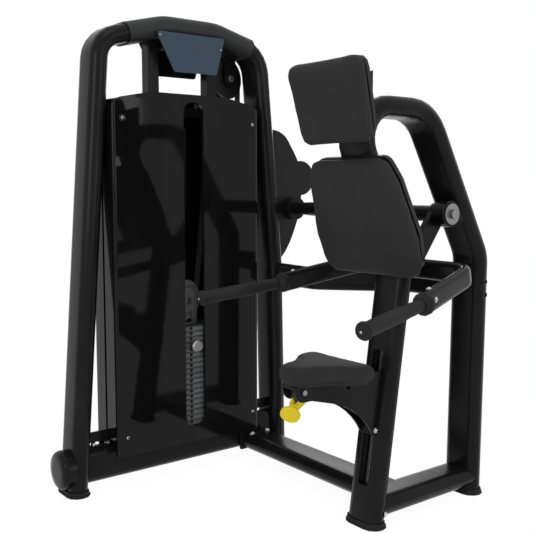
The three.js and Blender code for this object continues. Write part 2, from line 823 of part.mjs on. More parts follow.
function axle(name, reach, z) {
  const cheek = pulleyWide / 2 + looseGap + cheekThick + seatGap;
  const end = cheek + axleHeadLong;
  piece(name, turned([
    [0, -end], [axleHeadRadius, -end], [axleHeadRadius, -cheek], [axleRadius, -cheek],
    [axleRadius, cheek], [axleHeadRadius, cheek], [axleHeadRadius, end], [0, end],
  ], inPulleys(reach, z), axleWay, smallSides), finish.steel);
}

function pulleyCage() {
  const cheekStart = pulleyWide / 2 + looseGap;
  const footTop = headPlateTop + seatGap + cageFootThick;
  const cheeks = [-1, 1].map((side) => {
    const inner = side > 0 ? cheekStart : -cheekStart - cheekThick;
    const place = pulleyFrame.clone().multiply(new THREE.Matrix4().makeTranslation(0, 0, inner));
    const legs = [-1, 1].map((legSide) => span(legSide * cageLegReach - cageLegWide / 2,
      legSide * cageLegReach + cageLegWide / 2, headPlateTop + seatGap, movingPulleyZ, 0, cheekThick, place));
    const eye = rod(cageEyeRadius + cageLegWide / 2, inPulleys(0, movingPulleyZ, inner),
      inPulleys(0, movingPulleyZ, inner + cheekThick), fineSides);
    return join(...legs, eye);
  });
  const reach = cageLegReach + cageLegWide / 2;
  const half = cheekStart + cheekThick;
  const foot = span(-reach, reach, headPlateTop + seatGap, footTop, -half, half, pulleyFrame);
  const hole = bore(axleRadius + seatGap, inPulleys(0, movingPulleyZ, -half), inPulleys(0, movingPulleyZ, half));
  piece('pulley_cage', cut(join(...cheeks, foot), hole), finish.plate);
  axle('pulley_cage_bolt', 0, movingPulleyZ);
  piece('moving_pulley', pulley(0, movingPulleyZ), finish.shell);
}

function topPulley() {
  const cheekStart = pulleyWide / 2 + looseGap;
  const half = cheekStart + cheekThick;
  const bridgeZ = topPulleyZ + pulleyRadius + looseGap;
  const cheeks = [-1, 1].map((side) => {
    const inner = side > 0 ? cheekStart : -half;
    const place = pulleyFrame.clone().multiply(new THREE.Matrix4().makeTranslation(0, 0, inner));
    const strap = span(topPulleyReach - bridgeLong / 2, topPulleyReach + bridgeLong / 2, topPulleyZ,
      bridgeZ + bridgeThick, 0, cheekThick, place);
    const eye = rod(bridgeLong / 2, inPulleys(topPulleyReach, topPulleyZ, inner),
      inPulleys(topPulleyReach, topPulleyZ, inner + cheekThick), fineSides);
    return join(strap, eye);
  });
  const bridge = span(topPulleyReach - bridgeLong / 2, topPulleyReach + bridgeLong / 2, bridgeZ,
    bridgeZ + bridgeBlockShare * bridgeThick, -half, half, pulleyFrame);
  const hole = bore(axleRadius + seatGap, inPulleys(topPulleyReach, topPulleyZ, -half),
    inPulleys(topPulleyReach, topPulleyZ, half));
  const welded = [sleeveTube(seatGap), archTube(seatGap)];
  piece('top_pulley_bracket', cut(join(...cheeks, bridge), hole, ...welded), finish.frame);
  axle('top_pulley_bolt', topPulleyReach, topPulleyZ);
  piece('top_pulley', pulley(topPulleyReach, topPulleyZ), finish.shell);
}

// Belt: each stretch lies on the pulleys' tread lines
const pulleyRun = point(topPulleyReach, topPulleyZ - movingPulleyZ, 0);
const beltLean = Math.atan2(pulleyRun.x, pulleyRun.y) - Math.asin(2 * beltRadius / pulleyRun.length());
const beltSection = new THREE.Shape([
  new THREE.Vector2(-beltWide / 2, -beltThick / 2), new THREE.Vector2(beltWide / 2, -beltThick / 2),
  new THREE.Vector2(beltWide / 2, beltThick / 2), new THREE.Vector2(-beltWide / 2, beltThick / 2),
]);

// A turn of belt about a centre in a given frame, from one angle to another.
function turnPath(centre, radius, from, to, frame, flatWay) {
  const path = new BentPath([], flatWay);
  const steps = Math.ceil(Math.abs(THREE.MathUtils.radToDeg(to - from)) / bendStepDegrees);
  for (let step = 0; step <= steps; step += 1) {
    const angle = from + (to - from) * step / steps;
    const sense = Math.sign(to - from);
    const at = point(centre.x + radius * Math.cos(angle), centre.y + radius * Math.sin(angle), 0);
    const heading = point(-sense * Math.sin(angle), sense * Math.cos(angle), 0);
    path.stations.push({ at: at.applyMatrix4(frame), heading: heading.transformDirection(frame) });
  }
  return path;
}

const beltLeaveReach = topPulleyReach + beltRadius;
const camRunTop = inPulleys(beltLeaveReach, topPulleyZ);
const camBeltRadius = pivotY - camRunTop.y;
const camMeetZ = pivotZ + Math.sqrt(camBeltRadius ** 2 - (camBeltRadius - beltThick - looseGap) ** 2);

function belt() {
  const anchorBottom = anchorZ - anchorTall / 2;
  const anchorRun = new BentPath([
    { at: inPulleys(-beltRadius, movingPulleyZ + seatGap) }, { at: inPulleys(-beltRadius, anchorBottom - seatGap) },
  ], axleWay);
  piece('belt_anchor_run', sweep(anchorRun, beltSection), finish.belt);
  const side = point(Math.cos(beltLean), -Math.sin(beltLean), 0).multiplyScalar(beltRadius);
  const climb = point(Math.sin(beltLean), Math.cos(beltLean), 0).multiplyScalar(seatGap);
  const slantedRun = new BentPath([
    { at: inPulleys(side.x + climb.x, movingPulleyZ + side.y + climb.y) },
    { at: inPulleys(topPulleyReach - side.x - climb.x, topPulleyZ - side.y - climb.y) },
  ], axleWay);
  piece('belt_slanted_run', sweep(slantedRun, beltSection), finish.belt);
  piece('belt_lower_turn', sweep(turnPath(point(0, movingPulleyZ), beltRadius, Math.PI, 2 * Math.PI - beltLean,
    pulleyFrame, axleWay), beltSection), finish.belt);
  const runBottom = point(camPlateX + camThick / 2 + seatGap + looseGap + beltWide / 2, camRunTop.y, camMeetZ);
  const overTop = turnPath(point(topPulleyReach, topPulleyZ), beltRadius, Math.PI - beltLean, 0, pulleyFrame, axleWay);
  const down = runBottom.clone().sub(camRunTop).normalize();
  overTop.stations.push({ at: runBottom, heading: down, flatWay: acrossX });
  piece('belt_upper_run', sweep(overTop, beltSection), finish.belt);
  const woundFrom = radians(camTrackStart + camBeltStartMargin);
  const woundTo = radians(camTrackEnd - camBeltEndMargin);
  const wound = turnPath(point(pivotY, pivotZ), camBeltRadius, woundFrom, woundTo, sideFrame(runBottom.x), acrossX);
  piece('belt_on_cam', sweep(wound, beltSection), finish.belt);
}

// Moving arm
const pivotAt = (x) => point(x, pivotY, pivotZ);
const armLeft = -armThick;
const housingStart = seatGap;
const housingEnd = housingStart + archHousingLong;

function pivotTube() {
  const start = camPlateX - camThick / 2;
  const neckStart = towerRingX + seatGap - start;
  const tubeEnd = armLeft - seatGap - start;
  const end = housingEnd + seatGap + nutWasherThick - start;
  piece('pivot_tube', turned([
    [0, 0], [shaftRadius, 0], [shaftRadius, neckStart], [pivotTubeNeck, neckStart],
    [pivotTubeRadius, neckStart + pivotTaperLong], [pivotTubeRadius, tubeEnd], [shaftRadius, tubeEnd],
    [shaftRadius, end], [0, end],
  ], pivotAt(start), acrossX, fineSides), finish.frame);
  const washerStart = housingEnd + seatGap;
  const washer = rod(nutWasherRadius, pivotAt(washerStart), pivotAt(washerStart + nutWasherThick), fineSides);
  const washerHole = bore(shaftRadius + seatGap, pivotAt(washerStart), pivotAt(washerStart + nutWasherThick));
  const nutStart = washerStart + nutWasherThick;
  const nut = rod(nutRadius + looseGap, pivotAt(nutStart - seatGap), pivotAt(nutStart + nutLong), smallSides);
  const shaftEnd = rod(shaftRadius + seatGap, pivotAt(washerStart - cutOverrun), pivotAt(nutStart + seatGap));
  piece('pivot_nut', cut(join(cut(washer, washerHole), nut), shaftEnd), finish.chrome);
}

function bearings() {
  const ringEnd = towerRingX - towerRingLong;
  const ring = rod(towerRingRadius, pivotAt(ringEnd), pivotAt(towerRingX), fineSides);
  const neck = rod(towerNeckRadius, pivotAt(towerNeckEndX), pivotAt(ringEnd));
  const bracket = span(towerX - towerBracketWide / 2, towerX + towerBracketWide / 2,
    legBendY - tubeDeep, pivotY, pivotZ - towerBracketTall / 2, pivotZ + towerBracketTall / 2);
  const hole = bore(shaftRadius + seatGap, pivotAt(towerNeckEndX), pivotAt(towerRingX));
  const frontOff = span(-farReach, farReach, -farReach, legBendY - tubeDeep / 4, -farReach, farReach);
  piece('tower_bearing', cut(join(ring, neck, cut(bracket, frontOff)), archTube(seatGap), hole), finish.frame);
  const housing = rod(archHousingRadius, pivotAt(housingStart), pivotAt(housingEnd), fineSides);
  const web = span(housingStart, housingEnd, pivotY, rearSlantY, pivotZ - archWebTall / 2, pivotZ + archWebTall / 2);
  const shaftWay = bore(shaftRadius + seatGap, pivotAt(housingStart), pivotAt(housingEnd));
  const holder = largestPart(cut(join(housing, web), stationTube(seatGap), shaftWay));
  piece('arch_bearing', holder, finish.frame);
}

function swingArm() {
  const yoke = point(0, yokeY, yokeZ);
  const down = yoke.clone().sub(pivotAt(0));
  const reach = down.length();
  const armDown = down.clone().normalize();
  const armSide = new THREE.Vector3().crossVectors(armDown, acrossX);
  const armFrame = frameOf(pivotAt(armLeft), armSide, armDown, acrossX.clone().negate());
  const bar = span(-armWide / 2, armWide / 2, 0, reach, -armThick, 0, armFrame);
  const eye = rod(armEyeRadius, pivotAt(armLeft), pivotAt(0), fineSides);
  piece('swing_arm', cut(join(bar, eye), bore(shaftRadius + seatGap, pivotAt(armLeft), pivotAt(0)),
    handleTube(seatGap)), finish.frame);
}

// Handle tube: one bend each side, in the plane that holds the yoke and both collars
const handleSlope = point(0, collarY - yokeY, collarZ - yokeZ).normalize();
const handleFlat = new THREE.Vector3().crossVectors(handleSlope, acrossX);
const handlePath = new BentPath([
  inSide(-collarX, collarY, collarZ), inSide(-yokeHalf, yokeY, yokeZ, yokeBendRadius),
  inSide(yokeHalf, yokeY, yokeZ, yokeBendRadius), inSide(collarX, collarY, collarZ),
], handleFlat);
const handleTube = (grow) => tube(handlePath, handleTall, handleThick, grow);
const gripWay = (side) => point(side * (gripEndX - collarX), gripEndY - collarY, gripEndZ - collarZ).normalize();
const collarAt = (side) => point(side * collarX, collarY, collarZ);
const gripLong = point(gripEndX - collarX, gripEndY - collarY, gripEndZ - collarZ).length();
const onGrip = (side, distance) => collarAt(side).addScaledVector(gripWay(side), distance);

function handleFrame() {
  const innerPath = new BentPath([], handleFlat);
  innerPath.stations = handlePath.stations.map((station, i, all) => {
    const inset = i === 0 ? handlePlug : (i === all.length - 1 ? -handlePlug : 0);
    return { at: station.at.clone().addScaledVector(station.heading, inset), heading: station.heading };
  });
  const hollow = tube(innerPath, handleTall - 2 * handleWall, handleThick - 2 * handleWall);
  const vents = [-1, 1].map((side) => {
    const place = point(side * yokeHalf / 2, yokeY, yokeZ);
    return rod(handleVentRadius, place, place.clone().addScaledVector(handleFlat, -handleTall), smallSides);
  });
  const cores = [-1, 1].map((side) => rod(gripCoreRadius, onGrip(side, -handlePlug / 2),
    onGrip(side, gripLong - gripCapLong), roundSides));
  piece('handle_frame', join(cut(handleTube(0), hollow, ...vents), ...cores), finish.frame);
}

function grips() {
  const collarStart = seatGap;
  const gripStart = collarStart + collarLong + seatGap;
  const capStart = gripLong - gripCapLong;
  const gripEnd = capStart - seatGap;
  const boreRadius = gripCoreRadius + seatGap;
  const collars = [-1, 1].map((side) => cut(turned([
    [boreRadius, -collarLong / 2], [collarRadius - collarLong / 4, -collarLong / 2], [collarRadius, 0],
    [collarRadius, collarLong / 2], [gripFullRadius, collarLong], [boreRadius, collarLong],
    [boreRadius, -collarLong / 2],
  ], onGrip(side, collarStart), gripWay(side)), handleTube(seatGap)));
  piece('handle_collar_left', largestPart(collars[0]), finish.rubber);
  piece('handle_collar_right', largestPart(collars[1]), finish.rubber);
  [[-1, 'grip_left'], [1, 'grip_right']].forEach(([side, name]) => {
    const fullness = (share) => gripStartRadius + (gripFullRadius - gripStartRadius) * Math.min(1, 2 * share);
    const ribLong = (gripEnd - gripStart) / gripRibs;
    const profile = [[boreRadius, gripStart], [gripStartRadius, gripStart]];
    for (let i = 1; i <= gripRibs; i += 1) {
      profile.push([fullness(i / gripRibs) - gripRibRise * (i % 2), gripStart + i * ribLong - ribLong / 2]);
    }
    profile.push([gripFullRadius, gripEnd], [boreRadius, gripEnd], [boreRadius, gripStart]);
    piece(name, turned(profile, onGrip(side, 0), gripWay(side), roundSides), finish.grip);
  });
  [[-1, 'grip_cap_left'], [1, 'grip_cap_right']].forEach(([side, name]) => piece(name, turned([
    [0, 0], [gripCapRadius, 0], [gripCapRadius, gripCapLong / 2], [gripCapRadius - gripCapLong / 6, 5 * gripCapLong / 6],
    [gripCapRadius - gripCapLong / 2, gripCapLong], [0, gripCapLong],
  ], onGrip(side, capStart + seatGap), gripWay(side), fineSides), finish.rubber));
}

// The largest of the separate parts that a cut leaves.
function largestPart(solid) {
  return solid.decompose().reduce((best, part) => (part.volume() > best.volume() ? part : best));
}

// Cam plate with a round belt track on its inner side
function cam() {
  const trackOuter = (camBeltRadius - beltThick / 2) * flatShare - seatGap;
  const trackInner = trackOuter - camTrackThick;
  const onTrack = (radius, degrees) => [pivotY + radius * Math.cos(radians(degrees)),
    pivotZ + radius * Math.sin(radians(degrees))];
  const rimRadius = camBeltRadius + beltThick + looseGap;
  const outline = new THREE.Shape();
  outline.absarc(pivotY, pivotZ, rimRadius, radians(camTrackStart), radians(camTrackEnd));
  outline.quadraticCurveTo(camTailY - camCornerRadius, camTailZ, camTailY, camTailZ);
  outline.quadraticCurveTo((camTailY + camHipY) / 2, camTailZ, camHipY, camHipZ);
  outline.quadraticCurveTo(camBackY, (camHipZ + camBackZ) / 2, camBackY, camBackZ);
  outline.quadraticCurveTo(camBackY, camBackZ + camCornerRadius, camShoulderY, camShoulderZ);
  outline.quadraticCurveTo(camShoulderY - camCornerRadius / 2, camTopZ, camTopY, camTopZ);
  outline.quadraticCurveTo(camTopY - camCornerRadius, camTopZ, ...onTrack(rimRadius, camTrackStart));
  const disc = plate(outline, camThick, sideFrame(camPlateX - camThick / 2), 2 * ovalSteps);
  const inner = camPlateX + camThick / 2;
  const trackWide = beltWide + 2 * looseGap;
  const wall = new THREE.Shape();
  wall.absarc(pivotY, pivotZ, trackOuter, radians(camTrackStart), radians(camTrackEnd), false);
  wall.absarc(pivotY, pivotZ, trackInner, radians(camTrackEnd), radians(camTrackStart), true);
  wall.closePath();
  const track = plate(wall, trackWide + looseGap, sideFrame(inner - looseGap), 2 * ovalSteps);
  const hub = rod(camHubRadius, pivotAt(camPlateX - camThick / 2 - camHubLong), pivotAt(camPlateX), roundSides);
  const boreHole = rod(shaftRadius + seatGap, pivotAt(camPlateX - camThick / 2 - seatGap),
    pivotAt(camPlateX + camThick / 2 + cutOverrun));
  piece('cam', cut(join(disc, track, hub), boreHole), finish.plate);
}

function counterweight() {
  const start = camPlateX - camThick / 2 - seatGap;
  const at = (x) => point(x, weightY, weightZ);
  const large = rod(weightRadius, at(start - weightThick), at(start), fineSides);
  const smallStart = start - weightThick;
  const small = rod(weightSmallRadius, at(smallStart - weightSmallThick), at(smallStart), fineSides);
  piece('counterweight', join(large, small), finish.plate);
}

// Shrouds
function shroudOutline() {
  return roundedOutline([
    [shroudFrontY, shroudBottomZ, shroudFootRadius], [shroudRearY, shroudBottomZ, shroudFootRadius],
    [shroudRearY, shroudCornerZ, shroudCornerRadius],
    [(shroudFrontY + shroudRearY) / 2, 2 * shroudTopZ - shroudCornerZ, shroudCornerRadius * shroudCrownRadiusShare],
    [shroudFrontY, shroudCornerZ, shroudCornerRadius],
  ]);
}

function slotOutline(grow) {
  const radius = (slotRearY - slotFrontY) / 2 + grow;
  return roundedOutline([
    [slotFrontY - grow, slotBottomZ - grow, radius - seatGap], [slotRearY + grow, slotBottomZ - grow, radius - seatGap],
    [slotRearY + grow, slotTopZ + grow, radius - seatGap], [slotFrontY - grow, slotTopZ + grow, radius - seatGap],
  ]);
}

// The sheet's folded section: local x along world Y, local y from the face inwards
function shroudSection(grow, front, back) {
  const fold = Math.max(0, shroudFoldRadius - grow);
  return roundedOutline([
    [shroudRearY - grow, back, 0], [shroudRearY - grow, front, fold],
    [shroudFrontY + grow, front, fold], [shroudFrontY + grow, back, 0],
  ]);
}

// faceX is the outer face, and inward is +1 or -1 towards the stack.
function shroud(name, faceX, inward) {
  const seam = towerX - inward * shroudSeamGap / 2;
  const depth = Math.abs(seam - faceX);
  const rise = shroudTopZ - shroudBottomZ;
  const startZ = inward > 0 ? shroudTopZ : shroudBottomZ;
  const place = frameOf(point(faceX, 0, startZ), alongY, acrossX.clone().multiplyScalar(inward),
    upZ.clone().multiplyScalar(-inward));
  const outer = plate(shroudSection(0, 0, depth), rise, place);
  const inner = plate(shroudSection(shroudSheet, shroudSheet, depth + cutOverrun), rise + 2 * cutOverrun,
    new THREE.Matrix4().makeTranslation(0, 0, inward * cutOverrun).multiply(place));
  const face = plate(shroudOutline(), depth + 2 * cutOverrun, sideFrame(Math.min(faceX, seam) - cutOverrun), ovalSteps);
  const faceBack = faceX + inward * (shroudSheet + shroudFoldRadius);
  const seamPast = seam + inward * cutOverrun;
  const lowReturns = span(Math.min(faceBack, seamPast), Math.max(faceBack, seamPast), -farReach, farReach,
    -farReach, shroudReturnZ);
  const rimStart = Math.min(faceX, faceX + inward * slotRim);
  const rim = plate(slotOutline(shroudSheet), slotRim, sideFrame(rimStart), 2 * ovalSteps);
  const slot = plate(slotOutline(0), slotRim + 2 * cutOverrun, sideFrame(rimStart - cutOverrun), 2 * ovalSteps);
  const shell = cut(outer, inner, lowReturns).intersect(face);
  piece(name, cut(join(shell, rim), slot), finish.shroud);
}

// Tabs welded to the legs, each with a standoff between the two shrouds
function shroudTabs() {
  const frontFace = shroudFrontX - shroudSheet - seatGap;
  const rearFace = shroudRearX + shroudSheet + seatGap;
  return screwPlaces.map(([y, z, legY]) => join(
    rod(postRadius, point(rearFace, y, z), point(frontFace, y, z), smallSides),
    span(towerX - tabThick / 2, towerX + tabThick / 2, Math.min(y, legY), Math.max(y, legY),
      z - tabTall / 2, z + tabTall / 2),
  ));
}

// Placards
function placards() {
  const outline = roundedOutline([
    [placardBottomFrontY, placardBottomZ, placardCornerRadius],
    [placardBottomRearY, placardBottomZ, placardCornerRadius],
    [placardTopRearY, placardTopZ, placardCornerRadius], [placardTopFrontY, placardTopZ, placardCornerRadius],
  ]);
  const mirrorX = 2 * towerX - placardX;
  piece('front_placard', plate(outline, placardThick, sideFrame(placardX - placardThick / 2)), finish.placard);
  piece('rear_placard', plate(outline, placardThick, sideFrame(mirrorX - placardThick / 2)), finish.frame);
}

// Pads: a closed form drawn in rings, each a share of the outline at a share of the thickness
const padRingShares = [[0.5, 0], [0.93, 0], [0.985, 0.12], [1, 0.4], [0.995, 0.72], [0.965, 0.93], [0.9, 1],
  [0.72, 1], [0.48, 1], [0.24, 1]];
const padPoints = 40;

function padSolid(outline, centre, thick, crown, frame, rise = () => 0) {
  const spaced = outline.getSpacedPoints(padPoints).slice(0, padPoints);
  const places = [];
  const corner = (share, height, edge) => {
    const x = centre.x + share * (edge.x - centre.x);
    const y = centre.y + share * (edge.y - centre.y);
    const lift = height * height * (crown * (1 - share * share) + rise(x, y));
    places.push(x, y, height * thick + lift);
  };
  corner(0, 0, centre);
  padRingShares.forEach(([share, height]) => spaced.forEach((edge) => corner(share, height, edge)));
  corner(0, 1, centre);
  const index = [];
  const ringStart = (ring) => 1 + ring * padPoints;
  const last = 1 + padRingShares.length * padPoints;
  for (let i = 0; i < padPoints; i += 1) {
    const next = (i + 1) % padPoints;
    index.push(0, ringStart(0) + next, ringStart(0) + i);
    for (let ring = 0; ring < padRingShares.length - 1; ring += 1) {
      const low = ringStart(ring);
      const high = ringStart(ring + 1);
      index.push(low + i, low + next, high + next, low + i, high + next, high + i);
    }
    index.push(last, ringStart(padRingShares.length - 1) + i, ringStart(padRingShares.length - 1) + next);
  }
  const geometry = new THREE.BufferGeometry();
  geometry.setAttribute('position', new THREE.Float32BufferAttribute(places, 3));
  geometry.setIndex(index);
  return solidOf(geometry.applyMatrix4(frame));
}

// A leaning pad's frame: local x across, local y up the pad, local z out of its face
function leaningFrame(footY, footZ, lean) {
  const angle = radians(lean);
  return frameOf(point(0, footY, footZ), acrossX, point(0, -Math.sin(angle), Math.cos(angle)),
    point(0, -Math.cos(angle), -Math.sin(angle)));
}

const backPadFrame = leaningFrame(backPadFootY, backPadFootZ, backPadLean);
const headPadFrame = leaningFrame(headPadFootY, headPadFootZ, headPadLean);
const shifted = (frame, z) => frame.clone().multiply(new THREE.Matrix4().makeTranslation(0, 0, z));

function backPadOutline(grow) {
  const hip = backPadTall * backPadHipShare;
  const shoulder = backPadTall * backPadShoulderShare;
  return roundedOutline([
    [-backPadFootHalf - grow, -grow, backPadCornerRadius], [backPadFootHalf + grow, -grow, backPadCornerRadius],
    [backPadHipHalf + grow, hip, backPadCornerRadius], [backPadShoulderHalf + grow, shoulder, backPadTopRadius],
    [backPadTopHalf + grow, backPadTall + grow, backPadTopRadius],
    [-backPadTopHalf - grow, backPadTall + grow, backPadTopRadius],
    [-backPadShoulderHalf - grow, shoulder, backPadTopRadius], [-backPadHipHalf - grow, hip, backPadCornerRadius],
  ]);
}

function headPadOutline(grow) {
  return roundedOutline([
    [-headPadFootHalf - grow, -grow, headPadCornerRadius], [headPadFootHalf + grow, -grow, headPadCornerRadius],
    [headPadTopHalf + grow, headPadTall + grow, headPadCornerRadius],
    [-headPadTopHalf - grow, headPadTall + grow, headPadCornerRadius],
  ]);
}

function backPad() {
  const centre = new THREE.Vector2(0, backPadTall / 2);
  piece('back_pad', padSolid(backPadOutline(0), centre, backPadThick, backPadCrown, backPadFrame), finish.cushion);
  const shell = plate(backPadOutline(-shellMargin), shellThick, shifted(backPadFrame, -shellThick - seatGap));
  const bosses = [spacerLowerUp, spacerUpperUp].map((up) => largestPart(cut(span(
    -spacerSide / 2, spacerSide / 2, up - spacerSide / 2, up + spacerSide / 2,
    -shellThick - spacerDeep, -shellThick / 2, backPadFrame,
  ), stationTube(seatGap))));
  piece('back_pad_shell', largestPart(cut(join(shell, ...bosses), stationTube(seatGap))), finish.shell);
}

function headPad() {
  const centre = new THREE.Vector2(0, headPadTall / 2);
  piece('head_pad', padSolid(headPadOutline(0), centre, headPadThick, headPadCrown, headPadFrame), finish.cushion);
  const shell = plate(headPadOutline(-shellMargin), shellThick, shifted(headPadFrame, -shellThick - seatGap));
  piece('head_pad_shell', cut(shell, stationTube(seatGap)), finish.shell);
}

// The plate and web behind the head pad, welded to the head bend
function headBracket() {
  const top = -shellThick - 2 * seatGap;
  const backing = span(-headBracketHalf, headBracketHalf, headBracketFoot, headBracketTop,
    top - headBracketThick, top, headPadFrame);
  const web = span(-headWebWide / 2, headWebWide / 2, headBracketFoot, headBracketTop,
    top - headWebReach, top - headBracketThick / 2, headPadFrame);
  const overTube = span(-farReach, farReach, headBendY + headBendRadius, farReach, 0, farReach);
  return largestPart(cut(join(backing, web), stationTube(0), overTube));
}

// Seat
function seat() {
  const centre = new THREE.Vector2(0, (seatFrontY + seatRearY) / 2);
  const outline = roundedOutline([
    [-seatHalf, seatFrontY, seatFrontRadius], [seatHalf, seatFrontY, seatFrontRadius],
    [seatHalf, seatRearY, seatRearRadius], [-seatHalf, seatRearY, seatRearRadius],
  ]);
  const level = frameOf(point(0, 0, seatBottomZ), acrossX, alongY, upZ);
  const long = seatRearY - seatFrontY;
  const rise = (x, y) => seatRearRise * THREE.MathUtils.smoothstep((y - seatFrontY) / long, ...seatRiseShares);
  piece('seat_pad', padSolid(outline, centre, seatThick, seatCrown, level, rise), finish.cushion);
}

const carriageTopZ = seatBottomZ - seatGap;

function seatCarriage() {
  const backFront = postFace - seatGap - carriageBackThick;
  const post = (x, y, z) => point(x, y, z).applyMatrix4(postFrame);
  const topBack = post(0, backFront, carriageTop);
  const lowBack = post(0, backFront, carriageBottom);
  const half = carriageHalf + carriagePlateThick / 2;
  const nose = leverBoltY - carriageNoseRadius;
  const outline = new THREE.Shape();
  outline.moveTo(topBack.y + carriageBackThick / 2, carriageTopZ);
  outline.lineTo(nose - carriageBoltRadius, carriageTopZ);
  outline.quadraticCurveTo(nose, leverBoltZ - carriageNoseRadius, leverBoltY, leverBoltZ - carriageNoseRadius);
  outline.lineTo(leverBoltY + carriageNoseRadius, leverBoltZ - carriageNoseRadius);
  const dip = leverBoltY + carriageDipReachShare * carriageNoseRadius;
  outline.lineTo(dip, leverBoltZ - carriageDipDropShare * carriageNoseRadius);
  const tipY = lowBack.y;
  outline.quadraticCurveTo((dip + tipY) / 2 + carriageNoseRadius, (leverBoltZ + lowBack.z) / 2, tipY, lowBack.z);
  outline.lineTo(lowBack.y + carriageBackThick / 2, lowBack.z);
  outline.closePath();
  const cheeks = [-1, 1].map((side) => plate(outline, carriagePlateThick,
    sideFrame(side * carriageHalf - carriagePlateThick / 2), 2 * ovalSteps));
  const back = span(-half, half, backFront, postFace - seatGap, carriageBottom, carriageTop, postFrame);
  const guideHalf = pocketWide / 2 - seatGap;
  const guide = span(-guideHalf, guideHalf, backFront, postFace + guideDepth, guideBottom, carriageTop, postFrame);
  const top = span(-half, half, nose - carriageBoltRadius, topBack.y, carriageTopZ - carriagePlateThick, carriageTopZ);
  const keepClear = span(-farReach, farReach, postFace - seatGap, postFace + tubeDeep, 0, farReach, postFrame)
    .subtract(span(-guideHalf, guideHalf, postFace - farReach, postFace + guideDepth, 0, farReach, postFrame));
  const latchHole = bore(latchRadius + seatGap, post(0, backFront, latchAlong), post(0, postFace + guideDepth, latchAlong),
    smallSides);
  const bolt = (y, z, radius) => bore(radius, point(-half, y, z), point(half, y, z), smallSides);
  const holeY = leverBoltY + carriageHoleReachShare * carriageNoseRadius;
  const sideHole = bolt(holeY, carriageTopZ - carriageNoseRadius, carriageHoleRadius);
  piece('seat_carriage', cut(join(...cheeks, back, guide, top), keepClear, latchHole,
    bolt(leverBoltY, leverBoltZ, leverBoltRadius + seatGap), sideHole), finish.frame);
}

function seatLever() {
  const inner = carriageHalf - carriagePlateThick / 2;
  const half = carriageHalf + carriagePlateThick / 2;
  const pivot = point(0, leverBoltY, leverBoltZ);
  const angle = radians(leverLean);
  const stemWay = point(0, -Math.sin(angle), -Math.cos(angle));
  const stem = turned([
    [0, 0], [leverFlareRadius, 0], [leverFlareRadius, leverBossRadius], [leverStemRadius, leverReach],
    [leverKnobRadius / 2, leverReach], [leverKnobRadius, leverReach + leverKnobThick / 4],
    [leverKnobRadius, leverReach + 3 * leverKnobThick / 4], [3 * leverKnobRadius / 4, leverReach + leverKnobThick],
    [0, leverReach + leverKnobThick],
  ], pivot, stemWay, fineSides);
  const bossHalf = Math.min(leverBossHalf, inner - looseGap);
  const boss = rod(leverBossRadius, point(-bossHalf, leverBoltY, leverBoltZ), point(bossHalf, leverBoltY, leverBoltZ));
  const slotHalf = latchEyeThick / 2 + looseGap;
  const lugs = [-1, 1].map((side) => span(side < 0 ? -bossHalf : slotHalf, side < 0 ? -slotHalf : bossHalf,
    leverBoltY - leverBossRadius / 2, leverBoltY + leverBossRadius, crankPlace.z - 2 * leverCrankRadius, leverBoltZ));
  const crank = rod(leverCrankRadius, crankPlace.clone().setX(-bossHalf), crankPlace.clone().setX(bossHalf), smallSides);
  const eyeRoom = span(-slotHalf, slotHalf, leverBoltY - 2 * leverBossRadius, leverBoltY + 2 * leverBossRadius,
    crankPlace.z - latchEyeRadius - looseGap, crankPlace.z + latchEyeRadius + looseGap);
  const hole = bore(leverBoltRadius + seatGap, point(-bossHalf, leverBoltY, leverBoltZ),
    point(bossHalf, leverBoltY, leverBoltZ), smallSides);
  piece('seat_lever', join(cut(join(stem, boss, ...lugs), eyeRoom, hole), crank), finish.yellow);
  const end = half + seatGap;
  const leverBolt = turned([
    [0, -end - carriageBoltHead], [carriageBoltRadius, -end - carriageBoltHead], [carriageBoltRadius, -end],
    [leverBoltRadius, -end], [leverBoltRadius, end], [carriageBoltRadius, end],
    [carriageBoltRadius, end + carriageBoltHead], [0, end + carriageBoltHead],
  ], pivot, acrossX, smallSides);
  const stripFace = pocketFloor - seatGap - stripThick;
  const tip = point(0, stripFace - seatGap, latchAlong).applyMatrix4(postFrame);
  const eyeBack = crankPlace.clone().addScaledVector(postIn, latchEyeHole + looseGap);
  const eyeBlank = join(rod(latchRadius, eyeBack, tip, smallSides),
    rod(latchEyeRadius, crankPlace.clone().setX(-latchEyeThick / 2), crankPlace.clone().setX(latchEyeThick / 2)));
  piece('seat_latch', cut(eyeBlank, bore(latchEyeHole, crankPlace.clone().setX(-latchEyeThick / 2),
    crankPlace.clone().setX(latchEyeThick / 2))), finish.steel);
  piece('seat_lever_bolt', leverBolt, finish.steel);
}

stationFrame();
stationCrossbar();
const cupCentre = footHeight / 2;
floorCup('station_front_foot', stationPath, frontPostY + kneeSlope * cupCentre, 0);
floorCup('station_rear_foot', stationPath, rearLegY + rearLegSlope * cupCentre, 0);
floorCup('tower_front_foot', archPath, towerFrontY - towerRise * cupCentre, towerX);
floorCup('tower_rear_foot', archPath, towerRearY + towerRearRise * cupCentre, towerX);
seatHeightStrip();
tower();
lateralTube();
linkTube();
weightStack();
hangerFrame();
pulleyCage();
topPulley();
belt();
pivotTube();
bearings();
swingArm();
handleFrame();
grips();
cam();
counterweight();
shroud('front_shroud', shroudFrontX, -1);
shroud('rear_shroud', shroudRearX, 1);
placards();
backPad();
headPad();
seat();
seatCarriage();
seatLever();

export default machine;
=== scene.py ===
# Seated dip machine with its own weight stack: finishes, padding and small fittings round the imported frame
import json
from math import cos, pi, radians, sin

import bmesh
import bpy
from mathutils import Matrix, Vector


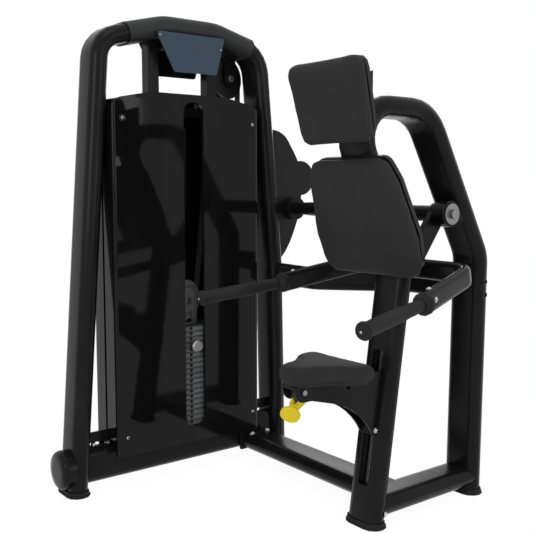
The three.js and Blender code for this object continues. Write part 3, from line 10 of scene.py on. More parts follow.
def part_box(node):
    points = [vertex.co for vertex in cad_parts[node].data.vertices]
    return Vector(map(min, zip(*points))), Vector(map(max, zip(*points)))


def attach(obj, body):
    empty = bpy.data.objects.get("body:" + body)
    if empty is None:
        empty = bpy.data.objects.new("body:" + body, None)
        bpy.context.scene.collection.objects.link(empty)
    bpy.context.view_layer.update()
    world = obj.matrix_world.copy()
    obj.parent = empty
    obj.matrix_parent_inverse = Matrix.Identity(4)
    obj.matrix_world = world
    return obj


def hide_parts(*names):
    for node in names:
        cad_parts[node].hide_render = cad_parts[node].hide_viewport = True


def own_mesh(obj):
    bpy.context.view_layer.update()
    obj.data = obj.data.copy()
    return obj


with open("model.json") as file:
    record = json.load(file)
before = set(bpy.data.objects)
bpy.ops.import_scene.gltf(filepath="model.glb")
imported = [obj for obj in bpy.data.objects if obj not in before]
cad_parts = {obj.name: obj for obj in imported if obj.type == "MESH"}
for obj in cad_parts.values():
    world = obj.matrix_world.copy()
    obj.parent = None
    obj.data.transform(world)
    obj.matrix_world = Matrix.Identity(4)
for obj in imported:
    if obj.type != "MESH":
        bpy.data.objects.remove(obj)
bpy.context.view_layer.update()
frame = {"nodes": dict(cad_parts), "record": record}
nodes = frame["nodes"]
bodies = frame["record"]["behaviour"]["bodies"]
slotOf = {row["node"]: row["material_slot"] for row in frame["record"]["subparts"]}
print("frame loaded,", len(nodes), "nodes")

# Camera and studio; a lamp is its name, place, target, size and watts
shot = {
    "place": (1.6325, -1.6335, 0.990),
    "azimuth": 52.4,
    "pitch": 5.83,
    "lens": 54.6,
    "sensor": 36.0,
    "farthest": 60,
}
studio = {
    "floorHalf": 14.0,
    "floorColour": (0.86, 0.86, 0.86),
    "floorRoughness": 0.9,
    "floorGlow": 0.88,          # how much of the floor is plain white to the camera
    "floorWhite": 1.08,         # lifts the floor to plain white outside the shadows
    "skyGlow": 0.48,            # what the room gives every surface
    "lamps": [
        ("topSoftbox", (0.3, -0.6, 3.4), (-0.3, 0.0, 0.6), 1.6, 9),
        ("keySoftbox", (0.9, -3.2, 1.7), (-0.3, 0.0, 0.8), 1.5, 22),
        ("sideSoftbox", (3.2, 0.9, 1.5), (-0.2, 0.0, 0.8), 1.5, 15),
        ("rearSoftbox", (-2.8, 2.4, 2.0), (-0.3, 0.0, 0.7), 1.6, 15),
    ],
}


# One socket of a node tree, with Python's arithmetic
class Wire:
    def __init__(self, graph, socket):
        self.graph = graph
        self.socket = socket

    def maths(self, operation, first, second):
        return self.graph.node("ShaderNodeMath", {"operation": operation}, {0: first, 1: second})

    def __add__(self, other):
        return self.maths("ADD", self, other)

    def __radd__(self, other):
        return self.maths("ADD", other, self)

    def __sub__(self, other):
        return self.maths("SUBTRACT", self, other)

    def __rsub__(self, other):
        return self.maths("SUBTRACT", other, self)

    def __mul__(self, other):
        return self.maths("MULTIPLY", self, other)

    def __rmul__(self, other):
        return self.maths("MULTIPLY", other, self)

    def larger(self, other):
        return self.maths("MAXIMUM", self, other)


# A node tree under construction
class Graph:
    def __init__(self, tree):
        self.tree = tree

    def put(self, node, values):
        for key, value in values.items():
            if isinstance(value, Wire):
                self.tree.links.new(value.socket, node.inputs[key])
            else:
                node.inputs[key].default_value = value

    def node(self, kind, settings=None, values=None, out=0):
        made = self.tree.nodes.new(kind)
        for key, value in (settings or {}).items():
            if key == "stops":
                ramp = made.color_ramp.elements
                while len(ramp) < len(value):
                    ramp.new(0.5)
                for element, (at, shade) in zip(ramp, value):
                    element.position = at
                    element.color = (shade, shade, shade, 1)
            else:
                setattr(made, key, value)
        self.put(made, values or {})
        return Wire(self, made.outputs[out]) if made.outputs else None

    def ray(self, kind):
        return self.node("ShaderNodeLightPath", out="Is " + kind + " Ray")

    def seen(self):                         # 1 for the camera and for mirror images of the room
        return self.ray("Camera").larger(self.ray("Glossy"))


# A material under construction; its shader is a Principled one
class Paint(Graph):
    def __init__(self, name, colour, roughness, **fixed):
        self.material = bpy.data.materials.new(name)
        self.material.use_nodes = True
        super().__init__(self.material.node_tree)
        self.shader = self.tree.nodes["Principled BSDF"]
        self.put(self.shader, {"Base Color": (*colour, 1), "Roughness": roughness})
        self.put(self.shader, {key.replace("_", " "): value for key, value in fixed.items()})

    def place(self, stretch):
        spot = self.node("ShaderNodeTexCoord", out="Object")
        return self.node("ShaderNodeMapping", values={"Vector": spot, "Scale": stretch})

    def noise(self, scale, detail=3.0, stretch=(1, 1, 1), roughness=0.5):
        return self.node("ShaderNodeTexNoise", values={
            "Vector": self.place(stretch), "Scale": scale, "Detail": detail, "Roughness": roughness})

    def cells(self, scale, stretch=(1, 1, 1)):
        return self.node("ShaderNodeTexVoronoi", {"feature": "DISTANCE_TO_EDGE"},
                         {"Vector": self.place(stretch), "Scale": scale})

    def bands(self, scale, stretch=(1, 1, 1)):
        across = {"wave_type": "BANDS", "bands_direction": "Y", "wave_profile": "SIN"}
        return self.node("ShaderNodeTexWave", across, {"Vector": self.place(stretch), "Scale": scale})

    def ramp(self, wire, stops):
        return self.node("ShaderNodeValToRGB", {"stops": stops}, {"Fac": wire})

    def tint(self, share, *ends):           # two colours or wires, mixed at sockets 6 and 7
        first, second = (end if isinstance(end, Wire) else (*end, 1) for end in ends)
        mixed = {"Factor": share, 6: first, 7: second}
        return self.node("ShaderNodeMix", {"data_type": "RGBA"}, mixed, out=2)

    def edges(self, radius, stops):         # 1 along worn edges, from the bevelled normal
        soft = self.node("ShaderNodeBevel", {"samples": 4}, {"Radius": radius})
        plain = self.node("ShaderNodeNewGeometry", out="Normal")
        both = {0: soft, 1: plain}
        alike = self.node("ShaderNodeVectorMath", {"operation": "DOT_PRODUCT"}, both, out="Value")
        return self.ramp(1 - alike, stops)

    def colour(self, wire):
        self.put(self.shader, {"Base Color": wire})

    def rough(self, wire):
        self.put(self.shader, {"Roughness": wire})

    def bump(self, height, strength, distance):
        depth = {"Height": height, "Strength": strength, "Distance": distance}
        self.put(self.shader, {"Normal": self.node("ShaderNodeBump", values=depth, out="Normal")})


def times(colour, factor):
    return [channel * factor for channel in colour]


# Finishes: noise and cell scales are waves a metre, stops are ramp positions with their values,
# "rough" is how far the least roughness lies below the named one and how far the noise lifts it,
# and "relief" is a bump's strength and depth in metres
powder = {
    "peel": 420,
    "dust": 5,
    "dustStops": [(0.45, 0), (0.72, 1)],
    "dustShare": 0.5,
    "lighter": 1.9,
    "lift": 0.004,
    "rough": (0.06, 0.12),
    "relief": (0.12, 0.0003),
}


def powderCoat(name, colour, roughness, level):
    below, swing = powder["rough"]
    paint = Paint(name, colour, roughness, Specular_IOR_Level=level)
    dust = paint.noise(powder["dust"], detail=4)
    dusty = [channel + powder["lift"] for channel in times(colour, powder["lighter"])]
    paint.colour(paint.tint(paint.ramp(dust, powder["dustStops"]) * powder["dustShare"], colour, dusty))
    paint.rough(roughness - below + dust * swing)
    paint.bump(paint.noise(powder["peel"], detail=2), *powder["relief"])
    return paint.material


lacquer = {
    "roughness": 0.06,
    "level": 0.15,
    "smears": 7,
    "smearStretch": (1, 1, 0.35),
    "smearGrain": 0.55,
    "roughStops": [(0.4, 0.035), (0.75, 0.09)],
    "hazeStops": [(0.5, 0), (0.8, 1)],
    "hazeShare": 0.35,
    "haze": (0.018, 0.018, 0.019),
    "peel": 60,
    "relief": (0.05, 0.0006),
}


def mirrorLacquer(name, colour):
    paint = Paint(name, colour, lacquer["roughness"], Specular_IOR_Level=lacquer["level"])
    smears = paint.noise(lacquer["smears"], detail=5, stretch=lacquer["smearStretch"],
                         roughness=lacquer["smearGrain"])
    paint.rough(paint.ramp(smears, lacquer["roughStops"]))
    haze = paint.ramp(smears, lacquer["hazeStops"]) * lacquer["hazeShare"]
    paint.colour(paint.tint(haze, colour, lacquer["haze"]))
    paint.bump(paint.noise(lacquer["peel"], detail=1), *lacquer["relief"])
    return paint.material


moulding = {
    "level": 0.25,
    "cast": 9,
    "rough": (0.05, 0.12),
    "depth": 0.0003,
}


def moulded(name, colour, roughness, grain=900, strength=0.3, lighter=1.35):
    below, swing = moulding["rough"]
    paint = Paint(name, colour, roughness, Specular_IOR_Level=moulding["level"])
    pits = paint.noise(grain, detail=2)
    paint.colour(paint.tint(paint.noise(moulding["cast"], detail=3), colour, times(colour, lighter)))
    paint.rough(roughness - below + pits * swing)
    paint.bump(pits, strength, moulding["depth"])
    return paint.material


rubber = {
    "roughness": 0.72,
    "level": 0.22,
    "chalk": 14,
    "chalkStops": [(0.42, 0), (0.75, 1)],
    "lighter": 2.1,
    "rough": (0.10, 0.18),
    "specks": 700,
    "speckShare": 0.4,
    # painted shade in the rib grooves: where it falls along the wave and its dark colour
    "grooveStops": [(0.1, 0.75), (0.45, 0)],
    "groove": (0.002, 0.002, 0.002),
    "relief": (0.5, 0.0006),
}


def rubberSkin(name, colour, ribs=0):
    below, swing = rubber["rough"]
    paint = Paint(name, colour, rubber["roughness"], Specular_IOR_Level=rubber["level"])
    chalk = paint.noise(rubber["chalk"], detail=5)
    shade = paint.tint(paint.ramp(chalk, rubber["chalkStops"]), colour, times(colour, rubber["lighter"]))
    height = paint.noise(rubber["specks"], detail=2) * rubber["speckShare"]
    if ribs:                                # painted shade in the grooves between fine ribs, which are only a bump
        wave = paint.bands(ribs)
        height = height + wave
        shade = paint.tint(paint.ramp(wave, rubber["grooveStops"]), shade, rubber["groove"])
    paint.colour(shade)
    paint.rough(rubber["roughness"] - below + chalk * swing)
    paint.bump(height, *rubber["relief"])
    return paint.material


vinyl = {
    "roughness": 0.5,
    "level": 0.06,
    "sheen": 0.03,
    "sheenRoughness": 0.6,
    "grain": 620,
    "grainStops": [(0.0, 0), (0.16, 1)],
    "grainShare": 0.6,
    "grainRough": 0.3,
    "pores": 1500,
    "poreShare": 0.25,
    "creases": 26,
    "creaseStretch": (1, 1, 0.6),
    "creaseShare": 0.6,
    "wear": 6,
    "wearStops": [(0.38, 0), (0.7, 1)],
    "lighter": 1.3,
    "rough": (0.08, 0.16),
    "relief": (0.35, 0.0006),
}


def cushionVinyl(name, colour):
    below, swing = vinyl["rough"]
    paint = Paint(name, colour, vinyl["roughness"], Specular_IOR_Level=vinyl["level"],
                  Sheen_Weight=vinyl["sheen"], Sheen_Roughness=vinyl["sheenRoughness"])
    grain = paint.cells(vinyl["grain"])
    pores = paint.noise(vinyl["pores"], detail=2)
    wear = paint.noise(vinyl["wear"], detail=4)
    creases = paint.noise(vinyl["creases"], detail=4, stretch=vinyl["creaseStretch"])
    paint.colour(paint.tint(paint.ramp(wear, vinyl["wearStops"]), colour, times(colour, vinyl["lighter"])))
    paint.rough(vinyl["roughness"] - below + wear * swing + grain * vinyl["grainRough"])
    leather = paint.ramp(grain, vinyl["grainStops"]) * vinyl["grainShare"]
    paint.bump(leather + pores * vinyl["poreShare"] + creases * vinyl["creaseShare"], *vinyl["relief"])
    return paint.material


casting = {
    "level": 0.2,
    "grit": 330,
    "stains": 12,
    "stainStretch": (1, 1, 2.2),
    "stainStops": [(0.35, 0), (0.7, 1)],
    "darker": 0.7,
    "edgeRadius": 0.0016,
    "edgeStops": [(0.02, 0), (0.2, 1)],
    "edgeShare": 0.5,
    "edgeLighter": 2.6,
    "rough": (0.08, 0.14),
    "relief": (0.35, 0.0004),
}
plateStack = {                              # painted shade in the gaps between stacked plates
    "foot": 0.16025,
    "pitch": 0.01825,
    "jointShadeStops": [(0.0, 0.9), (0.08, 0.2), (0.2, 0), (0.7, 0.1), (0.92, 0.85)],
    "jointShade": (0.012, 0.012, 0.013),
}


def castPaint(name, colour, roughness, joints=None):
    below, swing = casting["rough"]
    paint = Paint(name, colour, roughness, Specular_IOR_Level=casting["level"])
    stains = paint.noise(casting["stains"], detail=4, stretch=casting["stainStretch"])
    base = paint.tint(paint.ramp(stains, casting["stainStops"]), times(colour, casting["darker"]), colour)
    worn = paint.edges(casting["edgeRadius"], casting["edgeStops"])
    bare = [min(1, channel) for channel in times(colour, casting["edgeLighter"])]
    shade = paint.tint(worn * casting["edgeShare"], base, bare)
    if joints:
        # painted shade: each plate darkens towards the gaps above and below it
        spot = paint.node("ShaderNodeTexCoord", out="Object")
        height = paint.node("ShaderNodeSeparateXYZ", values={0: spot}, out="Z")
        plates = (height - joints["foot"]) * (1 / joints["pitch"])
        share = paint.node("ShaderNodeMath", {"operation": "FRACT"}, {0: plates})
        shade = paint.tint(paint.ramp(share, joints["jointShadeStops"]), shade, joints["jointShade"])
    paint.colour(shade)
    paint.rough(roughness - below + stains * swing)
    paint.bump(paint.noise(casting["grit"], detail=4), *casting["relief"])
    return paint.material


plating = {
    "haze": 22,
    "darker": 0.82,
    "rough": (0.03, 0.1),
    "relief": (0.18, 0.0003),
}


def plated(name, colour, roughness, brushed=0, stretch=(1, 1, 1)):
    below, swing = plating["rough"]
    paint = Paint(name, colour, roughness, Metallic=1.0)
    haze = paint.noise(plating["haze"], detail=4)
    paint.rough(roughness - below + haze * swing)
    paint.colour(paint.tint(haze, colour, times(colour, plating["darker"])))
    if brushed:
        paint.bump(paint.noise(brushed, detail=2, stretch=stretch), *plating["relief"])
    return paint.material


bluePlate = {
    "roughness": 0.45,
    "level": 0.3,
    "fade": 11,
    "lighter": 1.25,
    "rough": (0.09, 0.12),
    "grain": 1100,
    "relief": (0.1, 0.0002),
}


def bareBlue(name, colour):
    below, swing = bluePlate["rough"]
    paint = Paint(name, colour, bluePlate["roughness"], Specular_IOR_Level=bluePlate["level"])
    fade = paint.noise(bluePlate["fade"], detail=3)
    paint.colour(paint.tint(fade, colour, times(colour, bluePlate["lighter"])))
    paint.rough(bluePlate["roughness"] - below + fade * swing)
    paint.bump(paint.noise(bluePlate["grain"], detail=1), *bluePlate["relief"])
    return paint.material


finishes = {
    "frame": powderCoat("blackPowderCoat", (0.0085, 0.0085, 0.009), roughness=0.24, level=0.11),
    "shroud": mirrorLacquer("blackShroudLacquer", (0.006, 0.006, 0.0065)),
    "sleeve": moulded("greySleeveMoulding", (0.019, 0.0195, 0.0205), roughness=0.46),
    "rubber": rubberSkin("footRubber", (0.012, 0.012, 0.012)),
    "grip": rubberSkin("gripRubber", (0.0175, 0.0175, 0.018), ribs=42),
    "cushion": cushionVinyl("cushionVinyl", (0.029, 0.029, 0.03)),
    "moulded_black": moulded("blackMoulding", (0.013, 0.013, 0.014), roughness=0.42),
    "stack_grey": castPaint("stackGreyPaint", (0.2, 0.205, 0.21), roughness=0.5, joints=plateStack),
    "chrome": plated("chromePlate", (0.72, 0.73, 0.75), roughness=0.12),
    "steel": plated("zincPlate", (0.56, 0.57, 0.59), roughness=0.3, brushed=160, stretch=(1, 1, 8)),
    "belt": rubberSkin("beltRubber", (0.009, 0.009, 0.009)),
    "yellow": moulded("yellowMoulding", (0.93, 0.74, 0.014), roughness=0.34, grain=500, strength=0.14,
                      lighter=1.05),
    "placard": bareBlue("slateBluePlate", (0.026, 0.053, 0.08)),
    "camBlack": castPaint("camBlackPaint", (0.0085, 0.0085, 0.009), roughness=0.46),
    "blackBolt": powderCoat("blackBoltFinish", (0.014, 0.014, 0.015), roughness=0.34, level=0.26),
    "dullSteel": plated("dullZincPlate", (0.26, 0.26, 0.265), roughness=0.38),
    "pulleyGrey": moulded("pulleyGreyMoulding", (0.15, 0.153, 0.157), roughness=0.5),
    "boardBlack": moulded("seatBoardMoulding", (0.012, 0.012, 0.012), roughness=0.6),
}
finishOf = {                                # nodes whose finish differs from their slot's
    "cam": "camBlack",
    "counterweight": "camBlack",
    "moving_pulley": "pulleyGrey",
    "pulley_cage": "pulleyGrey",
    "seat_lever_bolt": "dullSteel",
    "pivot_nut": "dullSteel",
    "selector_pin": "dullSteel",
    "seat_latch": "blackBolt",
}
for name, thing in nodes.items():
    thing.data.materials.clear()
    thing.data.materials.append(finishes[finishOf.get(name, slotOf[name])])
print("finishes made:", len(finishes))


# Helpers for new pieces; corners nearer than "cornerGap" become one, and so do faces flatter than "flatAngle"
skin = {
    "cornerGap": 0.000001,
    "packedGap": 0.000002,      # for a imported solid's triangles
    "cushionGap": 0.00001,
    "flatAngle": 0.4,
    "sharpAngle": 32,
}


def finishPiece(name, bm, finish, body, clean=True):
    if clean:
        bmesh.ops.remove_doubles(bm, verts=bm.verts[:], dist=skin["cornerGap"])
        bmesh.ops.recalc_face_normals(bm, faces=bm.faces[:])
    mesh = bpy.data.meshes.new(name)
    bm.to_mesh(mesh)
    bm.free()
    mesh.materials.append(finishes[finish])
    mesh.set_sharp_from_angle(angle=radians(skin["sharpAngle"]))
    smooth(mesh)
    piece = bpy.data.objects.new(name, mesh)
    bpy.context.scene.collection.objects.link(piece)
    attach(piece, body)
    return piece


def smooth(mesh):
    for face in mesh.polygons:
        face.use_smooth = True


def facing(place, direction):               # a matrix that stands local z along a direction
    turn = Vector((0, 0, 1)).rotation_difference(Vector(direction)).to_matrix().to_4x4()
    return Matrix.Translation(place) @ turn


def rise(bm, face, lift, scale=1.0):        # draws a face up local z and narrows it
    made = bmesh.ops.extrude_face_region(bm, geom=[face])["geom"]
    top = next(part for part in made if isinstance(part, bmesh.types.BMFace))
    bmesh.ops.translate(bm, verts=top.verts[:], vec=(0, 0, lift))
    middle = top.calc_center_median()
    bmesh.ops.scale(bm, verts=top.verts[:], vec=(scale, scale, 1), space=Matrix.Translation(-middle))
    return top


def drawUp(bm, top, steps, height=1.0):     # a step is its share of the height and how far it narrows
    for lift, narrow in steps:
        top = rise(bm, top, height * lift, narrow)
    return top


def disc(bm, sides, radius, height=0.0):    # one round face, to be drawn up
    ring = bmesh.ops.create_circle(bm, cap_ends=True, segments=sides, radius=radius,
                                   matrix=Matrix.Translation((0, 0, height)))
    return ring["verts"][0].link_faces[0]


def pour(part, bm, place=None):             # adds one bmesh to another, moved to its place
    if place is not None:
        bmesh.ops.transform(part, matrix=place, verts=part.verts[:])
    mesh = bpy.data.meshes.new("passing")
    part.to_mesh(mesh)
    part.free()
    bm.from_mesh(mesh)
    bpy.data.meshes.remove(mesh)


def packedSkin(node, gap=skin["packedGap"]):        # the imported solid's triangles as one closed mesh
    bm = bmesh.new()
    bm.from_mesh(nodes[node].data)
    bmesh.ops.remove_doubles(bm, verts=bm.verts[:], dist=gap)
    return bm


def joinFlats(bm, angle=skin["flatAngle"]):
    bmesh.ops.dissolve_limit(bm, angle_limit=radians(angle), verts=bm.verts[:], edges=bm.edges[:])


# Rigid nodes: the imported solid's skin with its flats joined and its edges broken
edgeBreak = {
    "widths": {
        "frame": 0.0009,
        "shroud": 0.0007,
        "rubber": 0.0012,
        "moulded_black": 0.0011,
        "yellow": 0.0010,
    },
    "otherWidth": 0.0006,
    "segments": 2,
    "angle": 38,
}
madeFurtherOn = {"belt_anchor_run", "belt_slanted_run", "back_pad", "head_pad", "seat_pad", "seat_lever"}


def brokenEdge(node):
    body = next(name for name, held in bodies.items() if node in held)
    bm = packedSkin(node)
    joinFlats(bm)
    piece = finishPiece(node + "_dressed", bm, finishOf.get(node, slotOf[node]), body, False)
    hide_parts(node)
    soften = piece.modifiers.new("brokenEdge", "BEVEL")
    soften.width = edgeBreak["widths"].get(slotOf[node], edgeBreak["otherWidth"])
    soften.segments = edgeBreak["segments"]
    soften.limit_method = "ANGLE"
    soften.angle_limit = radians(edgeBreak["angle"])
    soften.use_clamp_overlap = True
    even = piece.modifiers.new("evenShade", "WEIGHTED_NORMAL")
    even.keep_sharp = True
    return piece


for node in nodes:
    if node not in madeFurtherOn:
        brokenEdge(node)
print("rigid nodes dressed:", len(nodes) - len(madeFurtherOn))

# Belt runs between the top and the moving pulley, which shorten as the stack rises: each is dressed and given
# a mesh of its own
for node in ("belt_anchor_run", "belt_slanted_run"):
    run = brokenEdge(node)
    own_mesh(run)

# Seat release lever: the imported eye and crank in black, a yellow paddle forked round the latch and a
# round knob; each edge of the paddle is its front and rear corner in side view, as y and z
lever = {
    "pivot": (0.0, -0.272, 0.438),
    "lean": 29,                             # degrees from straight down towards the front
    "cutAt": 0.0200,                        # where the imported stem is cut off, from the pivot
    "topEdge": ((-0.2636, 0.4286), (-0.2388, 0.4176)),
    "forkEdge": ((-0.2838, 0.4035), (-0.2614, 0.4035)),     # where the two prongs meet
    "knobEdge": ((-0.2930, 0.3890), (-0.2830, 0.3825)),
    "slotHalf": 0.0062,
    "topHalf": 0.0195,
    "knobHalf": 0.0100,
    "edgeWidth": 0.0012,
    "edgeSegments": 2,
    "flatAngle": 1,
    "knobPlace": (0.0, -0.2945, 0.3810),
    "knobWay": (0.50, -0.70, -0.50),
    "knobRadius": 0.0275,
    "knobFootShare": 0.93,
    "knobSides": 48,
    "knobSteps": [(0.0012, 1.05), (0.0014, 1.025), (0.0060, 1.0), (0.0012, 0.985), (0.0008, 0.96),
                  (0.0003, 0.93), (-0.0006, 0.97), (0.0004, 0.6)],
}


# A bevelled block between two edges of a side view
def wedge(bm, upper, lower, upperWide, lowerWide):
    part = bmesh.new()
    corners = [part.verts.new((x, y, z)) for x in upperWide for y, z in upper]
    corners += [part.verts.new((x, y, z)) for x in lowerWide for y, z in lower]
    bmesh.ops.convex_hull(part, input=corners)
    joinFlats(part, lever["flatAngle"])
    bmesh.ops.bevel(part, geom=part.edges[:], offset=lever["edgeWidth"], offset_type="OFFSET",
                    segments=lever["edgeSegments"], profile=0.5, affect="EDGES", material=-1,
                    clamp_overlap=True)
    pour(part, bm)


def leverCrank():
    way = Vector((0, -sin(radians(lever["lean"])), -cos(radians(lever["lean"]))))
    cutPoint = Vector(lever["pivot"]) + way * lever["cutAt"]
    bm = packedSkin("seat_lever")
    cut = bmesh.ops.bisect_plane(bm, geom=bm.verts[:] + bm.edges[:] + bm.faces[:], dist=skin["cornerGap"],
                                 plane_co=cutPoint, plane_no=way, clear_outer=True)
    rim = [part for part in cut["geom_cut"] if isinstance(part, bmesh.types.BMEdge)]
    bmesh.ops.holes_fill(bm, edges=rim, sides=0)
    joinFlats(bm)
    finishPiece("seatLeverCrank", bm, "moulded_black", "lever", False)


def leverPaddle():
    slot, wide, narrow = lever["slotHalf"], lever["topHalf"], lever["knobHalf"]
    bm = bmesh.new()
    for prong in ((slot, wide), (-wide, -slot)):
        wedge(bm, lever["topEdge"], lever["forkEdge"], prong, prong)
    wedge(bm, lever["forkEdge"], lever["knobEdge"], (-wide, wide), (-narrow, narrow))
    knob = bmesh.new()
    foot = disc(knob, lever["knobSides"], lever["knobRadius"] * lever["knobFootShare"])
    drawUp(knob, foot, lever["knobSteps"])
    bmesh.ops.recalc_face_normals(knob, faces=knob.faces[:])
    pour(knob, bm, facing(lever["knobPlace"], lever["knobWay"]))
    piece = finishPiece("seat_lever_dressed", bm, "yellow", "lever", False)
    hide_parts("seat_lever")


leverCrank()
leverPaddle()
print("seat lever made")

# Cushions, filled with a little pressure: "shrink" draws the skin in beforehand and "cap" is the
# farthest that the filling moves a point. The back and head pads are first stood upright by their
# lean and grown a little. The seat is drawn up from "half", one side of its saddle outline.
cushions = {
    "back_pad": {
        "name": "backCushion",
        "body": "root",
        "voxel": 0.006,
        "shrink": 0.003,
        "cap": 0.006,
        "lean": 19,
        "wider": 1.06,
        "taller": 1.06,
        "thicker": 0.006,
        "lower": 0.006,
    },
    "head_pad": {
        "name": "headCushion",
        "body": "root",
        "voxel": 0.005,
        "shrink": 0.002,
        "cap": 0.0045,
        "lean": 15,
        "wider": 1.07,
        "taller": 1.08,
        "thicker": 0.006,
        "lower": 0.003,
    },
    "seat_pad": {
        "name": "seatCushion",
        "body": "seat",
        "voxel": 0.0045,
        "shrink": 0.0,
        "cap": 0.004,
        "half": [(0.0, -0.096), (0.070, -0.096), (0.120, -0.097), (0.132, -0.102), (0.137, -0.115),
                 (0.136, -0.144), (0.126, -0.170), (0.106, -0.194), (0.086, -0.216), (0.072, -0.240),
                 (0.061, -0.268), (0.051, -0.294), (0.036, -0.313), (0.018, -0.323), (0.0, -0.326)],
        "foot": 0.4660,
        "footShare": 0.9,
        "steps": [(0.003, 1.06), (0.005, 1.02), (0.010, 1.0), (0.012, 1.0), (0.005, 0.985),
                  (0.0025, 0.955), (0.0012, 0.88), (0.0012, 0.6)],
    },
}
seatBoard = {
    "half": cushions["seat_pad"]["half"],
    "foot": 0.4564,
    "footShare": 0.84,
    "steps": [(0.008, 1.01), (0.002, 1.0)],
}
filling = {
    "pressure": 4,
    "quality": 5,
    "frames": 20,
    "relaxSteps": 6,
    "relaxShare": 0.5,
}


def saddle(shape):                          # a closed body drawn up from a mirrored outline
    half = shape["half"]
    share = shape["footShare"]
    inward = (1 - share) * (half[0][1] + half[-1][1]) / 2
    bm = bmesh.new()
    ring = half + [(-x, y) for x, y in reversed(half[1:-1])]
    foot = bm.faces.new([bm.verts.new((x * share, y * share + inward, shape["foot"])) for x, y in ring])
    drawUp(bm, foot, shape["steps"])
    bmesh.ops.recalc_face_normals(bm, faces=bm.faces[:])
    return bm


def grow(bm, shape):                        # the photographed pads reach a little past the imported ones
    upright = Matrix.Rotation(radians(-shape["lean"]), 4, "X")
    middle = sum((corner.co for corner in bm.verts), Vector()) / len(bm.verts)
    bmesh.ops.transform(bm, matrix=upright @ Matrix.Translation(-middle), verts=bm.verts[:])
    back = max(corner.co.y for corner in bm.verts)
    deep = back - min(corner.co.y for corner in bm.verts)
    bmesh.ops.scale(bm, verts=bm.verts[:], vec=(shape["wider"], 1 + shape["thicker"] / deep, shape["taller"]),
                    space=Matrix.Translation((0, -back, 0)))
    bmesh.ops.translate(bm, verts=bm.verts[:], vec=(0, 0, -shape["lower"]))
    bmesh.ops.transform(bm, matrix=Matrix.Translation(middle) @ upright.inverted(), verts=bm.verts[:])


def settle(piece):                          # applies what modifiers a piece has
    seen = piece.evaluated_get(bpy.context.evaluated_depsgraph_get())
    mesh = bpy.data.meshes.new_from_object(seen)
    old = piece.data
    piece.modifiers.clear()
    piece.data = mesh
    mesh.name = piece.name
    bpy.data.meshes.remove(old)


def inflate(piece, cap):
    start = [corner.co.copy() for corner in piece.data.vertices]
    cloth = piece.modifiers.new("fill", "CLOTH")
    cloth.settings.use_pressure = True
    cloth.settings.uniform_pressure_force = filling["pressure"]
    cloth.settings.effector_weights.gravity = 0
    cloth.settings.quality = filling["quality"]
    cloth.point_cache.frame_end = filling["frames"]
    for step in range(filling["frames"]):
        bpy.context.scene.frame_set(step + 1)
    settle(piece)
    bpy.context.scene.frame_set(1)
    for corner, place in zip(piece.data.vertices, start):
        move = corner.co - place
        if move.length > cap:
            corner.co = place + move.normalized() * cap


def blank(node, shape):                     # what a cushion is filled from
    if "half" in shape:
        bm = saddle(shape)
    else:
        bm = packedSkin(node, skin["cushionGap"])
        bmesh.ops.recalc_face_normals(bm, faces=bm.faces[:])
    bm.normal_update()
    for corner in bm.verts:
        corner.co -= corner.normal * shape["shrink"]
    if "lean" in shape:
        grow(bm, shape)
    return bm


def cushion(node, shape):
    piece = finishPiece(shape["name"], blank(node, shape), "cushion", shape["body"], False)
    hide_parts(node)
    remesh = piece.modifiers.new("even", "REMESH")
    remesh.mode = "VOXEL"
    remesh.voxel_size = shape["voxel"]
    settle(piece)
    inflate(piece, shape["cap"])
    smooth(piece.data)
    relax = piece.modifiers.new("relax", "SMOOTH")
    relax.iterations = filling["relaxSteps"]
    relax.factor = filling["relaxShare"]
    settle(piece)
    fine = piece.modifiers.new("fine", "SUBSURF")
    fine.levels = 1
    fine.render_levels = 1


for node, shape in cushions.items():
    cushion(node, shape)
finishPiece("seatBoard", saddle(seatBoard), "boardBlack", "seat")
print("cushions filled")

# Screws and bolts; the steps of a washer are in metres, those of a head are shares of its height
roundHead = {
    "sides": 24,
    "steps": [(0.35, 1.0), (0.3, 0.93), (0.22, 0.86), (0.13, 0.75)],
    "standOff": 0.0004,         # how far a head without a washer starts above its place
    "socketShare": 0.5,
    "socketDepth": 0.5,
    "socketFloor": 0.96,
    "washerSides": 24,
    "washerShare": 1.45,
    "washerSteps": [(0.00112, 1.0), (0.00028, 0.95)],
}
hexHead = {
    "sides": 6,
    "steps": [(0.86, 1.0), (0.14, 0.9), (0.0, 0.86), (-0.08, 0.97)],
    "standOff": 0.0,
    "washerSides": 28,
    "washerShare": 1.3,
    "washerSteps": [(0.0018, 1.0), (0.0004, 0.95)],
}
shroudWasher = {
    "radius": 0.0115,
    "thick": 0.0016,
    "sides": 32,
    "steps": [(0.7, 1.0), (0.3, 0.93)],
}


def sinkSocket(part, top, shape, radius, height):       # a hexagon drawn in from a round face, then sunk
    top = rise(part, top, 0, shape["socketShare"] * radius / top.verts[0].co.xy.length)
    for corner in top.verts:
        angle = corner.co.xy.angle_signed(Vector((1, 0)), 0) % (pi / 3) - pi / 6
        corner.co.xy *= cos(pi / 6) / cos(angle)
    rise(part, top, -height * shape["socketDepth"], shape["socketFloor"])


def screw(shape, radius, height, washer):
    part = bmesh.new()
    base = shape["standOff"]
    if washer:
        drawUp(part, disc(part, shape["washerSides"], radius * shape["washerShare"]), shape["washerSteps"])
        base = sum(lift for lift, narrow in shape["washerSteps"])
    top = drawUp(part, disc(part, shape["sides"], radius, base), shape["steps"], height)
    if "socketShare" in shape:
        sinkSocket(part, top, shape, radius, height)
    return part


def onBothSides(place, direction):
    x, y, z = place
    u, v, w = direction
    return [((x, y, z), (u, v, w)), ((-x, y, z), (-u, v, w))]


